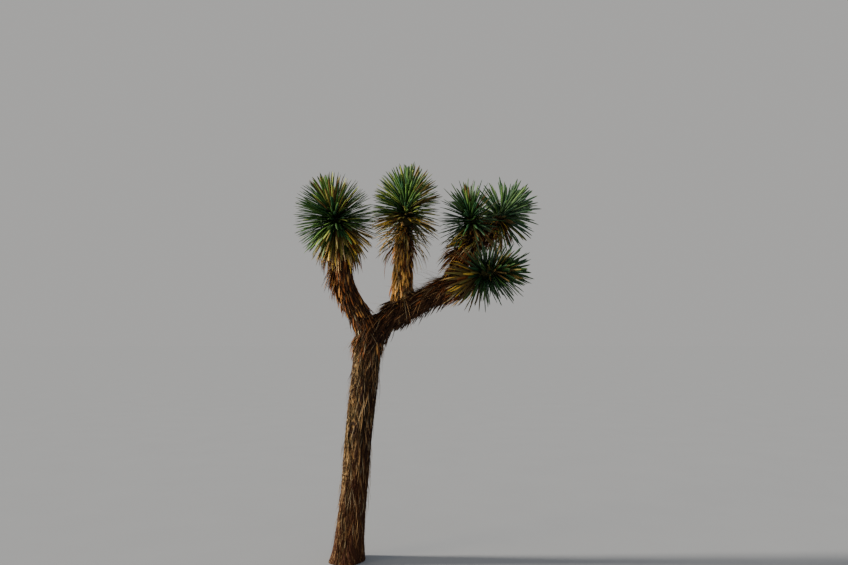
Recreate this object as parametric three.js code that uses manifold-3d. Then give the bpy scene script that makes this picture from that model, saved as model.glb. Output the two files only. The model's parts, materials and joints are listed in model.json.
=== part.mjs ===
// A young Joshua tree: a leaning trunk that forks into a left and a right bough. They carry five round
// heads of dagger leaves, with skirts of dry leaves folded back along the bark below them.
//
// Millimetres, +Z up. The origin is the middle of the flat cut at ground level. +X is to the right in
// the tree's front view, and -Y is towards the viewer.
//
// Every piece is a blank turned on a lathe and then bent along a path: a round one for the wood, and a
// three-sided, flattened one for a leaf.

import * as THREE from "three";
import { mergeVertices } from "three/addons/utils/BufferGeometryUtils.js";
import Module from "manifold-3d";

const wasm = await Module();
wasm.setup();
const { Manifold, Mesh } = wasm;

// Driving dimensions

// Clear space between two solids that meet
const GAP = 0.3;

// The places where limbs start, part and end. The trunk's path starts below ground, where it is cut off,
// and a limb that forks off starts inside its parent
const JOINTS = {
  buried: [-4, 0, -40],
  trunkTop: [166, 0, 1760],
  forkHeart: [162, 0, 1680],
  leftBend: [-51, -130, 2227],
  leftBud: [-102, -250, 2670],
  elbow: [408, 28, 1932],
  centreHeart: [417, 30, 1936],
  centreBud: [456, 120, 2868],
  spread: [790, -88, 2108],
  lowRightBud: [1160, -306, 2214],
  highFork: [1018, 57, 2512],
  twinHeart: [1000, 48, 2484],
  twinLeftBud: [972, 0, 2704],
  twinRightBud: [1284, 262, 2786],
};

// Each limb runs from one joint to another. leave and arrive are its directions there, and foot and tip
// are its radii. A limb that starts inside others names them as grownFrom, and one that goes on from the
// end of another names that one as follows. sides and step are given for a limb that isn't rounded and
// divided like the rest
const LIMBS = {
  trunk: {
    from: "buried", to: "trunkTop", leave: [0.095, 0, 1], arrive: [0.13, 0, 1], foot: 93, tip: 108,
    sides: 25, step: 115,
  },
  leftLower: {
    from: "forkHeart", to: "leftBend", leave: [-0.14, -0.05, 0.98], arrive: [-0.03, -0.26, 0.97],
    foot: 82, tip: 82, grownFrom: ["trunk"],
  },
  leftUpper: {
    from: "leftBend", to: "leftBud", leave: [-0.03, -0.26, 0.97], arrive: [-0.3, -0.3, 0.9],
    foot: 82, tip: 34, follows: "leftLower",
  },
  rightLower: {
    from: "forkHeart", to: "elbow", leave: [0.5, 0.03, 0.87], arrive: [0.9, 0.02, 0.44],
    foot: 94, tip: 88, grownFrom: ["trunk", "leftLower"],
  },
  rightOuter: {
    from: "elbow", to: "spread", leave: [0.9, 0.02, 0.44], arrive: [0.86, -0.3, 0.42],
    foot: 88, tip: 76, follows: "rightLower",
  },
  centre: {
    from: "centreHeart", to: "centreBud", leave: [0, 0.06, 1], arrive: [0.06, 0.1, 1],
    foot: 82, tip: 34, grownFrom: ["rightLower", "rightOuter"],
  },
  lowRight: {
    from: "spread", to: "lowRightBud", leave: [0.86, -0.3, 0.42], arrive: [0.86, -0.5, 0.04],
    foot: 74, tip: 34, follows: "rightOuter",
  },
  highRight: {
    from: "spread", to: "highFork", leave: [0.3, 0.3, 0.9], arrive: [0.6, 0.28, 0.76],
    foot: 66, tip: 62, grownFrom: ["rightOuter", "lowRight"],
  },
  twinLeft: {
    from: "twinHeart", to: "twinLeftBud", leave: [0.1, 0, 1], arrive: [-0.2, -0.3, 0.95],
    foot: 52, tip: 34, grownFrom: ["highRight"], sides: 9,
  },
  twinRight: {
    from: "twinHeart", to: "twinRightBud", leave: [0.68, 0.4, 0.6], arrive: [0.56, 0.46, 0.7],
    foot: 54, tip: 34, grownFrom: ["highRight", "twinLeft"],
  },
};

// The bare wood: the share of its limb at which each piece ends
const BOUGHS = {
  trunk: { limb: "trunk", domed: true },
  left_bough_lower: { limb: "leftLower" },
  left_bough_upper: { limb: "leftUpper", end: 0.36 },
  right_bough_lower: { limb: "rightLower" },
  right_bough_outer: { limb: "rightOuter" },
  centre_bough: { limb: "centre", end: 0.54 },
  low_right_bough: { limb: "lowRight", end: 0.2 },
  high_right_bough: { limb: "highRight", end: 0.58 },
  twin_left_bough: { limb: "twinLeft", end: 0.46 },
  twin_right_bough: { limb: "twinRight", end: 0.34 },
};

// The masses of leaves: the share of its limb that each one takes, up to the limb's end if nothing else
// is given, and how far its leaves stand out from the middle of the limb
const MASSES = {
  left_head: { limb: "leftUpper", start: 0.68, kind: "green", reach: 306 },
  centre_head: { limb: "centre", start: 0.73, kind: "green", reach: 286 },
  low_right_head: { limb: "lowRight", start: 0.52, kind: "green", reach: 272 },
  twin_left_head: { limb: "twinLeft", start: 0.46, kind: "green", reach: 288 },
  twin_right_head: { limb: "twinRight", start: 0.62, kind: "green", reach: 296 },
  left_skirt: { limb: "leftUpper", start: 0.36, end: 0.68, kind: "dry", reach: 250 },
  centre_skirt: { limb: "centre", start: 0.54, end: 0.73, kind: "dry", reach: 280 },
  low_right_skirt: { limb: "lowRight", start: 0.2, end: 0.52, kind: "dry", reach: 230 },
  high_right_skirt: { limb: "highRight", start: 0.58, end: 1, kind: "dry", reach: 230 },
  twin_right_skirt: { limb: "twinRight", start: 0.34, end: 0.62, kind: "dry", reach: 220 },
};

// The kinds of leaf. foot is how far above its stem's lower end the lowest leaf is rooted. The leans are
// a leaf's angles from its stem's growing direction, at the lowest and the highest leaf of a mass. bow is
// how far its middle stands off a straight line, as a share of its length, towards the stem's growing end
const KINDS = {
  green: { count: 110, foot: 32, width: 26, thickness: 6, lowLean: 142, highLean: 5, bow: 0.015, seed: 11 },
  dry: { count: 27, foot: 46, width: 19, thickness: 5, lowLean: 158, highLean: 140, bow: 0.1, seed: 29 },
};

// What all the leaves share: how deep a leaf is rooted in its stem, how far leaves keep from wood and
// from leaves of other masses, and how much they vary
const LEAF = {
  sides: 3,
  widest: 0.3,
  rootShare: 0.3,
  rootDepth: 15,
  woodRoom: 6,
  leafRoom: 22,
  lengthJitter: 0.07,
  leanJitter: 3.5,
  turnJitter: 5,
};

// How wood is shaped: the steps along and round a limb, the sides where a head hides it, the spread of
// the trunk's foot, the lumps of old leaf bases on the boughs, how far and how much the bark swells where
// limbs meet, and how thin a limb starts inside its parent
const WOOD = {
  step: 70,
  sides: 16,
  sidesInHeads: 9,
  footFlare: 50,
  footFlareHeight: 150,
  lump: 0.03,
  collarReach: 92,
  rootShare: 0.7,
};

// The main ridges of the trunk's old bark: how many there are round it, how high they stand, how far they
// wander round it, in radians, over what run, and between which heights they fade out
const RIDGES = { count: 5, height: 7, wander: 1.1, run: 210, fadeFrom: 1250, fadeTo: 1650 };

const COLOURS = {
  trunk: 0x4a3524,
  bough: 0x543a26,
  dry: 0x8a6538,
  green: 0x3f5a2c,
};

// Small helpers

const mix = (a, b, t) => a + (b - a) * t;
const vector = (numbers) => new THREE.Vector3(...numbers);
const radians = THREE.MathUtils.degToRad;
const GOLDEN_ANGLE = Math.PI * (3 - Math.sqrt(5));
const FRONT_TO_BACK = new THREE.Vector3(0, 1, 0);

// A seeded source of numbers from -1 to 1
function jitterFrom(seed) {
  let state = seed;
  return () => {
    state = (state + 0x6d2b79f5) | 0;
    let t = Math.imul(state ^ (state >>> 15), 1 | state);
    t = (t + Math.imul(t ^ (t >>> 7), 61 | t)) ^ t;
    return ((t ^ (t >>> 14)) >>> 0) / 2147483648 - 1;
  };
}

// Limbs

// A limb with its path: a Bezier curve whose handles are a third of its length
function limbOf([name, limb]) {
  const start = vector(JOINTS[limb.from]);
  const end = vector(JOINTS[limb.to]);
  const handle = start.distanceTo(end) / 3;
  const first = start.clone().addScaledVector(vector(limb.leave).normalize(), handle);
  const second = end.clone().addScaledVector(vector(limb.arrive).normalize(), -handle);
  const curve = new THREE.CubicBezierCurve3(start, first, second, end);
  return [name, { name, grownFrom: [], ...limb, curve, length: curve.getLength() }];
}

const limbs = Object.fromEntries(Object.entries(LIMBS).map(limbOf));

// The radius of a limb's wood at a share t of its length, before lumps and collars
function plainRadius(limb, t) {
  if (limb.name === "trunk") {
    const flare = WOOD.footFlare * Math.exp((-limb.length * t) / WOOD.footFlareHeight);
    return mix(limb.foot, limb.tip, t ** 4) + flare;
  }
  const inside = limb.grownFrom.length ? THREE.MathUtils.smoothstep(limb.length * t, 0, limb.foot) : 1;
  const taper = limb.to.endsWith("Bud") ? t ** 2.2 : t;
  return mix(limb.foot, limb.tip, taper) * mix(WOOD.rootShare, 1, inside);
}

// Balls that fill a limb between two shares of its length, for measuring how near a point is to it
function ballsOf(limb, start = 0, end = 1) {
  const count = Math.max(3, Math.ceil((limb.length * (end - start)) / 20));
  return Array.from({ length: count + 1 }, (_, i) => {
    const t = mix(start, end, i / count);
    return { centre: limb.curve.getPointAt(t), radius: plainRadius(limb, t) };
  });
}

const distanceTo = (balls, p) =>
  Math.min(...balls.map(({ centre, radius }) => centre.distanceTo(p) - radius));

const distanceToMiddle = (balls, p) => Math.min(...balls.map(({ centre }) => centre.distanceTo(p)));

const growsFrom = (limb, parent) => limb.grownFrom.includes(parent.name);

// The limbs that a limb grows out of, and those that grow out of it
function joined(limb) {
  return Object.values(limbs).filter((other) => growsFrom(limb, other) || growsFrom(other, limb));
}

const joinedBalls = Object.fromEntries(
  Object.values(limbs).map((limb) => [limb.name, joined(limb).map((other) => ballsOf(other))]),
);

// Where limbs meet, the bark of each swells towards the other, so that the crotch is rounded
function collar(limb, p) {
  const swellings = joinedBalls[limb.name].map((balls) => {
    const near = Math.max(0, 1 - Math.abs(distanceTo(balls, p)) / WOOD.collarReach);
    return (WOOD.collarReach / 4) * near ** 2;
  });
  return Math.max(0, ...swellings);
}

// How far low swellings of old leaf bases stand out from a bough, as a share of its radius
function lumps(along, outward) {
  const angle = Math.atan2(outward.z, outward.y);
  return WOOD.lump * (Math.sin(3 * angle + along / 70) + 0.6 * Math.sin(2 * angle - along / 47 + 1));
}

// How far the main ridges stand out from the trunk
function ridges(height, outward) {
  const angle = Math.atan2(outward.x, outward.y);
  const fade = 1 - THREE.MathUtils.smoothstep(height, RIDGES.fadeFrom, RIDGES.fadeTo);
  const wander = RIDGES.wander * Math.sin(height / RIDGES.run);
  return RIDGES.height * fade * Math.sin(RIDGES.count * angle + wander);
}

// Turning and bending

// A blank in lathe coordinates: x and z are shares of the radius, and y is the way along the path
function turnedBlank(profile, sides) {
  const outline = profile.map(([share, along]) => new THREE.Vector2(share, along));
  const blank = new THREE.LatheGeometry(outline, sides);
  blank.deleteAttribute("normal");
  blank.deleteAttribute("uv");
  return blank;
}

// Moves a blank's points onto a path. place gives the centre and the direction at a way along, side is
// where the blank's x goes, and radius is the size at a point of the outline
function bent(blank, { place, side, radius, flat = 1 }) {
  const points = blank.getAttribute("position");
  for (let i = 0; i < points.count; i++) {
    const [x, along, z] = [points.getX(i), points.getY(i), points.getZ(i)];
    const { centre, direction } = place(along);
    const across = side.clone().addScaledVector(direction, -side.dot(direction)).normalize();
    const up = new THREE.Vector3().crossVectors(across, direction);
    const outward = across.clone().multiplyScalar(x).addScaledVector(up, z * flat);
    const p = centre.clone().addScaledVector(outward, radius({ along, centre, outward }));
    points.setXYZ(i, p.x, p.y, p.z);
  }
  return blank;
}

// A closed geometry as a solid that can be joined and cut
function solidOf(geometry) {
  const merged = mergeVertices(geometry, 1e-3);
  const numbers = { numProp: 3, vertProperties: new Float32Array(merged.getAttribute("position").array) };
  return new Manifold(new Mesh({ ...numbers, triVerts: new Uint32Array(merged.index.array) }));
}

// How far up its dome a limb has rings of points, in degrees
const DOME_RINGS = [30, 60];

// The shares of a limb's length at which it has a ring of points: where its pieces part, and evenly in
// between, so that all of a limb's pieces keep to one surface
function ringsOf(limb) {
  const pieces = [...Object.values(BOUGHS), ...Object.values(MASSES)];
  const own = pieces.filter((piece) => piece.limb === limb.name);
  const parts = new Set([0, ...own.map(({ end = 1 }) => end)]);
  const sorted = [...parts].sort((a, b) => a - b);
  const between = sorted.slice(1).flatMap((end, i) => {
    const count = Math.max(1, Math.round(((end - sorted[i]) * limb.length) / (limb.step ?? WOOD.step)));
    return Array.from({ length: count }, (_, k) => mix(sorted[i], end, (k + 1) / count));
  });
  return [0, ...between];
}

// The wood of a limb between two shares of its length, grown outwards by a margin. Its ends are cut flat,
// except that the upper one can be domed
function wood(limb, { start = 0, end = 1, grow = 0, domed = false, sides = limb.sides ?? WOOD.sides } = {}) {
  const from = limb.length * start + (start > 0 || limb.follows ? GAP : 0) - grow;
  const to = limb.length * end + grow;
  const inner = ringsOf(limb).filter((share) => share > start + 1e-6 && share < end - 1e-6);
  const body = [from, ...inner.map((share) => share * limb.length), to].map((along) => [1, along]);
  const domeHeight = domed ? plainRadius(limb, end) : 0;
  const domeRing = (lift) => [Math.cos(radians(lift)), to + domeHeight * Math.sin(radians(lift))];
  const profile = [[0, from], ...body, ...(domed ? DOME_RINGS.map(domeRing) : []), [0, to + domeHeight]];

  const shareOf = (along) => THREE.MathUtils.clamp(along / limb.length, 0, 1);
  const place = (along) => {
    const t = shareOf(along);
    const direction = limb.curve.getTangentAt(t);
    const centre = limb.curve.getPointAt(t).addScaledVector(direction, along - t * limb.length);
    return { centre, direction };
  };
  const radius = ({ along, centre, outward }) => {
    const smooth = plainRadius(limb, shareOf(along));
    const rough = limb.name === "trunk" ? ridges(centre.z, outward) : smooth * lumps(along, outward);
    return smooth + rough + collar(limb, centre.clone().addScaledVector(outward, smooth + rough)) + grow;
  };
  return solidOf(bent(turnedBlank(profile, sides), { place, side: FRONT_TO_BACK, radius }));
}

// A limb's piece with the limbs that it grows from cut out of it, so that it sits on them, and with what
// is below ground cut off
function seated(limb, solid) {
  const parents = limb.grownFrom.map((name) => wood(limbs[name], { grow: GAP, domed: name === "trunk" }));
  const cut = parents.reduce((rest, parent) => rest.subtract(parent), solid);
  return cut.trimByPlane([0, 0, 1], 0).decompose().sort((a, b) => b.volume() - a.volume())[0];
}

// Leaves

// A leaf's middle line, bowed towards the stem's growing end
function leafLine(root, tip, stem, bow) {
  const direction = tip.clone().sub(root).normalize();
  const lift = stem.clone().addScaledVector(direction, -stem.dot(direction));
  const middle = root.clone().lerp(tip, 0.5).addScaledVector(lift, root.distanceTo(tip) * bow * 2);
  return new THREE.QuadraticBezierCurve3(root, middle, tip);
}

// A dagger leaf along its middle line, its flat side turned to the stem's growing end
function leaf(line, stem, { width, thickness }) {
  const size = width / Math.sqrt(3);
  const blank = turnedBlank([[0, 0], [LEAF.rootShare, 0], [1, LEAF.widest], [0, 1]], LEAF.sides);
  return solidOf(
    bent(blank, {
      place: (t) => ({ centre: line.getPoint(t), direction: line.getTangent(t) }),
      side: new THREE.Vector3().crossVectors(line.getTangent(0.5), stem).normalize(),
      radius: () => size,
      flat: thickness / (1.5 * size),
    }),
  );
}

// The lines of a mass's leaves. Leaf follows leaf up the stem by the golden angle, and their leans are
// spaced so that they spread evenly over a ball
function leafLines(name, { limb: limbName, start, end = 1, kind: kindName, reach }) {
  const limb = limbs[limbName];
  const kind = KINDS[kindName];
  const jitter = jitterFrom(kind.seed + Object.keys(MASSES).indexOf(name));
  const margin = kind.foot / limb.length;
  const core = ballsOf(limb, start, end);
  const [lowest, highest] = [kind.lowLean, kind.highLean].map((lean) => Math.cos(radians(lean)));
  return Array.from({ length: kind.count }, (_, i) => {
    const t = (i + 0.5) / kind.count;
    const share = mix(start + margin, end < 1 ? end - margin / 4 : 1, t);
    const stem = limb.curve.getTangentAt(share);
    const across = new THREE.Vector3().crossVectors(FRONT_TO_BACK, stem).normalize();
    const back = new THREE.Vector3().crossVectors(stem, across);
    const turn = i * GOLDEN_ANGLE + radians(LEAF.turnJitter) * jitter();
    const lean = Math.acos(mix(lowest, highest, t)) + radians(LEAF.leanJitter) * jitter();
    const outward = across.multiplyScalar(Math.cos(turn)).addScaledVector(back, Math.sin(turn));
    const direction = stem.clone().multiplyScalar(Math.cos(lean)).addScaledVector(outward, Math.sin(lean));
    const way = direction.dot(stem) < 0 ? outward : direction;
    const root = limb.curve.getPointAt(share);
    const length = reach * (1 + LEAF.lengthJitter * jitter());
    const hidden = root.clone();
    while (distanceTo(core, root) < -LEAF.rootDepth) root.addScaledVector(way, 3);
    const tip = root.clone().addScaledVector(direction, length - root.distanceTo(hidden));
    return { line: leafLine(root, tip, stem, kind.bow), stem, kind };
  });
}

// A head keeps to the space that is nearer to its own stem than to another head's
const headStems = Object.fromEntries(
  Object.entries(MASSES)
    .filter(([, { kind }]) => kind === "green")
    .map(([name, { limb, start }]) => [name, ballsOf(limbs[limb], start)]),
);

function keepsToItsSpace(name, line, room) {
  const own = headStems[name];
  if (!own) return true;
  const others = Object.entries(headStems).filter(([other]) => other !== name);
  return [0.4, 0.6, 0.8, 1].every((t) => {
    const p = line.getPoint(t);
    return others.every(([, balls]) => distanceToMiddle(balls, p) > distanceToMiddle(own, p) + 2 * room);
  });
}

// Every leaf keeps clear of all the wood but the stem that it is rooted in. It lies flat along its own
// limb, so that half its thickness is enough room there
function keepsOffWood({ limb: limbName, start, end = 1 }, line, { width, thickness }) {
  return Object.values(limbs).every((limb) => {
    const own = limb.name === limbName;
    const balls = own ? [...ballsOf(limb, 0, start), ...ballsOf(limb, end, 1)] : ballsOf(limb);
    const room = LEAF.woodRoom + (own ? thickness : width) / 2;
    return [0.25, 0.4, 0.6, 0.8, 1].every((t) => distanceTo(balls, line.getPoint(t)) > room);
  });
}

// The straight pieces that stand for a leaf where it is measured against the leaves of other masses
function piecesOf(line) {
  const points = [0, 0.33, 0.67, 1].map((t) => line.getPoint(t));
  return points.slice(1).map((p, i) => new THREE.Line3(points[i], p));
}

const grownPieces = [];

function keepsOffLeaves(line) {
  const mine = piecesOf(line);
  const clear = (piece, other) => piece.distanceSqToLine3(other) > LEAF.leafRoom ** 2;
  return grownPieces.every((other) => mine.every((piece) => clear(piece, other)));
}

// A mass: its stretch of limb with its leaves fused on. A leaf that has no room isn't grown
function mass(name, spec) {
  const limb = limbs[spec.limb];
  const grown = leafLines(name, spec).filter(
    ({ line, kind }) =>
      keepsToItsSpace(name, line, kind.width / 2) && keepsOffWood(spec, line, kind) && keepsOffLeaves(line),
  );
  grownPieces.push(...grown.flatMap(({ line }) => piecesOf(line)));
  const { start, end } = spec;
  const stem = wood(limb, { start, end, domed: !end, sides: end ? undefined : WOOD.sidesInHeads });
  return Manifold.union([stem, ...grown.map(({ line, stem: axis, kind }) => leaf(line, axis, kind))]);
}

// Assembly

const tree = new THREE.Group();

function add(name, solid, colour) {
  const made = solid.getMesh();
  const geometry = new THREE.BufferGeometry()
    .setAttribute("position", new THREE.BufferAttribute(made.vertProperties, 3))
    .setIndex(new THREE.BufferAttribute(made.triVerts, 1));
  geometry.computeVertexNormals();
  const material = new THREE.MeshStandardMaterial({ color: colour, roughness: 0.9, metalness: 0 });
  const mesh = new THREE.Mesh(geometry, material);
  mesh.name = name;
  tree.add(mesh);
}

for (const [name, { limb, end, domed }] of Object.entries(BOUGHS)) {
  add(name, seated(limbs[limb], wood(limbs[limb], { end, domed })), COLOURS[name] ?? COLOURS.bough);
}

for (const [name, spec] of Object.entries(MASSES)) {
  add(name, mass(name, spec), COLOURS[spec.kind]);
}

export default tree;
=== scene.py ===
# A young Joshua tree: bark with its relief, heads of dagger leaves, skirts of dry leaves, and the dead
# leaves and loose fibres that hang on the boughs and the trunk.
#
# Metres, +Z up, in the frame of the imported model. The origin is the middle of the flat cut at ground level.
import json
import math

import bmesh
import bpy
import numpy as np
from bpy.props import FloatProperty, FloatVectorProperty, IntProperty, PointerProperty
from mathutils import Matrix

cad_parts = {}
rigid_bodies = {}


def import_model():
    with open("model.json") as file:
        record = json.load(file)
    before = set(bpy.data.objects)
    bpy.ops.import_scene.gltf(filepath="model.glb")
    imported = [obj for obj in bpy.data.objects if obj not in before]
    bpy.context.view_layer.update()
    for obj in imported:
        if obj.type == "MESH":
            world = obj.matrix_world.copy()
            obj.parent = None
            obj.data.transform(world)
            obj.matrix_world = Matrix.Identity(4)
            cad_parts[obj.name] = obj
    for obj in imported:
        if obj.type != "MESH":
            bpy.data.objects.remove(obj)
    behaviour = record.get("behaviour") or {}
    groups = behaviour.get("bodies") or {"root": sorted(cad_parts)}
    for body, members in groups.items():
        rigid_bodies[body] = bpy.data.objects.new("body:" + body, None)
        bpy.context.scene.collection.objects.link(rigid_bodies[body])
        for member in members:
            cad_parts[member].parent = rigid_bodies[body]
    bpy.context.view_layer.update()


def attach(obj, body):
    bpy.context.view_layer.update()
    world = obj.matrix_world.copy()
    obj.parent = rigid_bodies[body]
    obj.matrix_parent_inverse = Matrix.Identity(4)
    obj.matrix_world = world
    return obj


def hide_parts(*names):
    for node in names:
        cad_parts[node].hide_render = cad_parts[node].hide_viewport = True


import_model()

bl_info = {
    "name": "Joshua Tree",
    "version": (1, 0, 0),
    "blender": (4, 5, 0),
    "location": "View3D > Sidebar > Joshua Tree",
    "description": "Grows the bark, leaves and dry skirts of a young Joshua tree round its frame",
    "category": "Object",
}


def colour(code):
    """A colour for a node, from its usual six-figure code."""
    shares = [int(code[i:i + 2], 16) / 255 for i in (0, 2, 4)]
    return tuple(c / 12.92 if c <= 0.04045 else ((c + 0.055) / 1.055) ** 2.4 for c in shares) + (1.0,)


# The tree's frame, as the model of its solids has it

# The places where limbs start, part and end
JOINTS = {
    "buried": (-0.004, 0.0, -0.040),
    "trunk_top": (0.166, 0.0, 1.760),
    "fork_heart": (0.162, 0.0, 1.680),
    "left_bend": (-0.051, -0.130, 2.227),
    "left_bud": (-0.102, -0.250, 2.670),
    "elbow": (0.408, 0.028, 1.932),
    "centre_heart": (0.417, 0.030, 1.936),
    "centre_bud": (0.456, 0.120, 2.868),
    "spread": (0.790, -0.088, 2.108),
    "low_right_bud": (1.160, -0.306, 2.214),
    "high_fork": (1.018, 0.057, 2.512),
    "twin_heart": (1.000, 0.048, 2.484),
    "twin_left_bud": (0.972, 0.0, 2.704),
    "twin_right_bud": (1.284, 0.262, 2.786),
}

# Each limb's joints, its directions there, its radii, and the limbs that it starts inside
LIMBS = {
    "trunk": dict(
        ends=("buried", "trunk_top"), ways=((0.095, 0, 1), (0.13, 0, 1)), radii=(0.093, 0.108), inside=(),
    ),
    "left_lower": dict(
        ends=("fork_heart", "left_bend"), ways=((-0.14, -0.05, 0.98), (-0.03, -0.26, 0.97)),
        radii=(0.082, 0.082), inside=("trunk",),
    ),
    "left_upper": dict(
        ends=("left_bend", "left_bud"), ways=((-0.03, -0.26, 0.97), (-0.3, -0.3, 0.9)),
        radii=(0.082, 0.034), inside=(),
    ),
    "right_lower": dict(
        ends=("fork_heart", "elbow"), ways=((0.5, 0.03, 0.87), (0.9, 0.02, 0.44)),
        radii=(0.094, 0.088), inside=("trunk", "left_lower"),
    ),
    "right_outer": dict(
        ends=("elbow", "spread"), ways=((0.9, 0.02, 0.44), (0.86, -0.3, 0.42)),
        radii=(0.088, 0.076), inside=(),
    ),
    "centre": dict(
        ends=("centre_heart", "centre_bud"), ways=((0, 0.06, 1), (0.06, 0.1, 1)),
        radii=(0.082, 0.034), inside=("right_lower", "right_outer"),
    ),
    "low_right": dict(
        ends=("spread", "low_right_bud"), ways=((0.86, -0.3, 0.42), (0.86, -0.5, 0.04)),
        radii=(0.074, 0.034), inside=(),
    ),
    "high_right": dict(
        ends=("spread", "high_fork"), ways=((0.3, 0.3, 0.9), (0.6, 0.28, 0.76)),
        radii=(0.066, 0.062), inside=("right_outer", "low_right"),
    ),
    "twin_left": dict(
        ends=("twin_heart", "twin_left_bud"), ways=((0.1, 0, 1), (-0.2, -0.3, 0.95)),
        radii=(0.052, 0.034), inside=("high_right",),
    ),
    "twin_right": dict(
        ends=("twin_heart", "twin_right_bud"), ways=((0.68, 0.4, 0.6), (0.56, 0.46, 0.7)),
        radii=(0.054, 0.034), inside=("high_right", "twin_left"),
    ),
}

# How the wood swells at the trunk's foot and where limbs meet, the share of its thickness with which a
# limb starts inside another, and the powers by which the trunk widens and a limb narrows towards its bud
FOOT_FLARE = 0.050
FOOT_FLARE_HEIGHT = 0.150
COLLAR_REACH = 0.092
COLLAR_HEIGHT = COLLAR_REACH / 4
ROOT_SHARE = 0.7
TRUNK_TAPER = 4
BUD_TAPER = 2.2

# The trunk's main ridges: how many run up it, how high they stand, how far they wander round it, in
# radians, over what run, and between which heights they fade out
RIDGES = 5
RIDGE_HEIGHT = 0.007
RIDGE_WANDER = 1.1
RIDGE_RUN = 0.21
RIDGES_FADE = (1.25, 1.65)

# The points along a limb's path, and along the coarser ones that swellings and leaves go by
PATH_POINTS = 300
SWELLING_POINTS = 50
STEM_POINTS = 60

# The bark's skins. Each runs over one limb after another, from this share of the first one, has rings of
# so many points at these steps, and is cut into pieces at the limbs' starts. A piece stands for the nodes
# named with it. The left bough's skin starts just inside the trunk's, so that it parts from it smoothly
SKINS = (
    dict(
        limbs=("trunk", "right_lower", "right_outer", "low_right"), start=0.0, sides=200, step=0.004,
        pieces=(
            ("trunk_bark", "trunk", ("trunk",)),
            ("right_bough_bark", "right_lower", (
                "right_bough_lower", "right_bough_outer", "low_right_bough",
            )),
        ),
    ),
    dict(
        limbs=("trunk", "left_lower", "left_upper"), start=0.74, sides=104, step=0.006,
        pieces=(("left_bough_bark", "trunk", ("left_bough_lower", "left_bough_upper")),),
    ),
    dict(
        limbs=("centre",), start=0.0, sides=96, step=0.006,
        pieces=(("centre_bough_bark", "centre", ("centre_bough",)),),
    ),
    dict(
        limbs=("high_right", "twin_right"), start=0.0, sides=80, step=0.006,
        pieces=(("high_bough_bark", "high_right", ("high_right_bough", "twin_right_bough")),),
    ),
    dict(
        limbs=("twin_left",), start=0.0, sides=70, step=0.006,
        pieces=(("twin_bough_bark", "twin_left", ("twin_left_bough",)),),
    ),
)

# How much slimmer than the trunk's skin one is that starts inside it, and how deep the dead leaves lie
# where they cover the bark
SLIMMER = 0.93
DEAD_LEAF_DEPTH = 0.012

# Where a skin goes on from one limb to the next: the share of the next one that stays nearly as thick as
# its start, how nearly, and how far to each side the bend is evened out
JOINED_SHARE = 0.3
JOINED_THICKNESS = 0.97
BEND_REACH = 0.06

# How far the dead leaves cover each limb's bark, at its start and at its end. Below 0 it is bare
COVER = {
    "trunk": (-4.0, 0.4),
    "right_lower": (0.4, 0.85),
    "right_outer": (0.85, 1.0),
    "low_right": (1.0, 1.0),
    "left_lower": (0.4, 1.0),
    "left_upper": (1.0, 1.0),
    "centre": (0.8, 1.0),
    "high_right": (1.0, 1.0),
    "twin_right": (0.8, 0.8),
    "twin_left": (0.8, 0.8),
}

# The direction that the turns round a limb go by
FRONT_TO_BACK = (0.0, 1.0, 0.0)

# The bark's relief

# The heights between which old bark gives way to the young bark of the boughs, and how the patterns are
# drawn out along the limb
YOUNG_HEIGHTS = (1.35, 2.0)
DRAWN_OUT = (1.0, 1.0, 0.35)

# How the ropes of old bark waver, as the scale, detail and reach of noise, in radians: round the trunk,
# in their sway to and fro, and each family by itself, with its own place in the noise
ROPE_DRIFT = (6.0, 1.0, 7.0)
ROPE_SWAY = (3.5, 1.0, 12.0)
ROPE_WANDER = (17.0, 2.0, 3.6)
FAMILY_SHIFT = 3.0

# The noise that the ropes' thickness goes by and what it makes of it, the finer strands to each rope and
# their thickness, and how high ropes, strands and their crossings stand
THICKNESS_NOISE = (14.0, 1.0)
ROPE_THICKNESS = (0.35, 0.65, 0.3, 0.6)
STRANDS_PER_ROPE = 3.0
STRAND_THICKNESS = 0.7
ROPE_SHARE = 0.7
STRAND_SHARE = 0.35
CROSSING_SHARE = 0.3

# Old leaf bases on young bark: how unevenly they stand, and how each rises to its lower end and falls
# towards its sides. Then the noise of the lumps under them
BASE_UNEVENNESS = 0.75
BASE_RISE = (-0.45, 0.5)
BASE_FALL = (0.2, 0.75, 1.0, 0.0)
LUMP_NOISE = (11.0, 1.0)

# The healed scar on the trunk's front: its middle, how it is drawn out, the spacing of its rings, and
# where it fades out, in its radii
SCAR = (0.035, -0.095, 1.02)
SCAR_DRAWN_OUT = (1.0, 1.0, 0.62)
SCAR_RINGS = 5.6
SCAR_FADE = (1.2, 1.8, 1.0, 0.0)

# The bark's finish

# The side that the bark and the dead leaves get painted sunlight on, paler and warmer, and how near to
# it they have to face
PAINTED_SUNLIGHT_SIDE = (-0.88, -0.47, 0.0)
PAINTED_SUNLIGHT_ON_BARK = (0.25, 0.95)
PAINTED_SUNLIGHT_ON_LEAVES = (0.2, 0.9)

# What makes the bark pale, on its ridges, and what bleaches it and paints sunlight on its sunlit side: the
# weight of each mask, and the sums between which the colour turns
RIDGE_MASKS = {"relief": 0.75, "strings": 0.45, "patches": 0.3}
RIDGE_TURN = (0.34, 0.98)
WEATHER_AND_SUNLIGHT_MASKS = {"worn": 0.5, "relief": 0.65, "strings": 0.5, "sunny": 0.3, "scar": -0.22}
WEATHER_AND_SUNLIGHT_TURN = (0.92, 1.36)
PATCH_NOISE = (5.0, 3.0)
WORN_NOISE = (7.0, 3.0)

# The moss in patches of the bark, the painted shade that darkens the trunk's foot, with the heights between
# which it ends and its strength there, and the green wood in the hearts of the heads
MOSS = colour("3c3a1b")
MOSSY_TURN = (0.45, 0.7)
MOSS_SHARE = 0.35
PAINTED_FOOT_SHADE = colour("4a2814")
PAINTED_FOOT_SHADE_TURN = (0.45, 1.05, 0.5, 0.0)
HEART = colour("4c4a2b")

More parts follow.
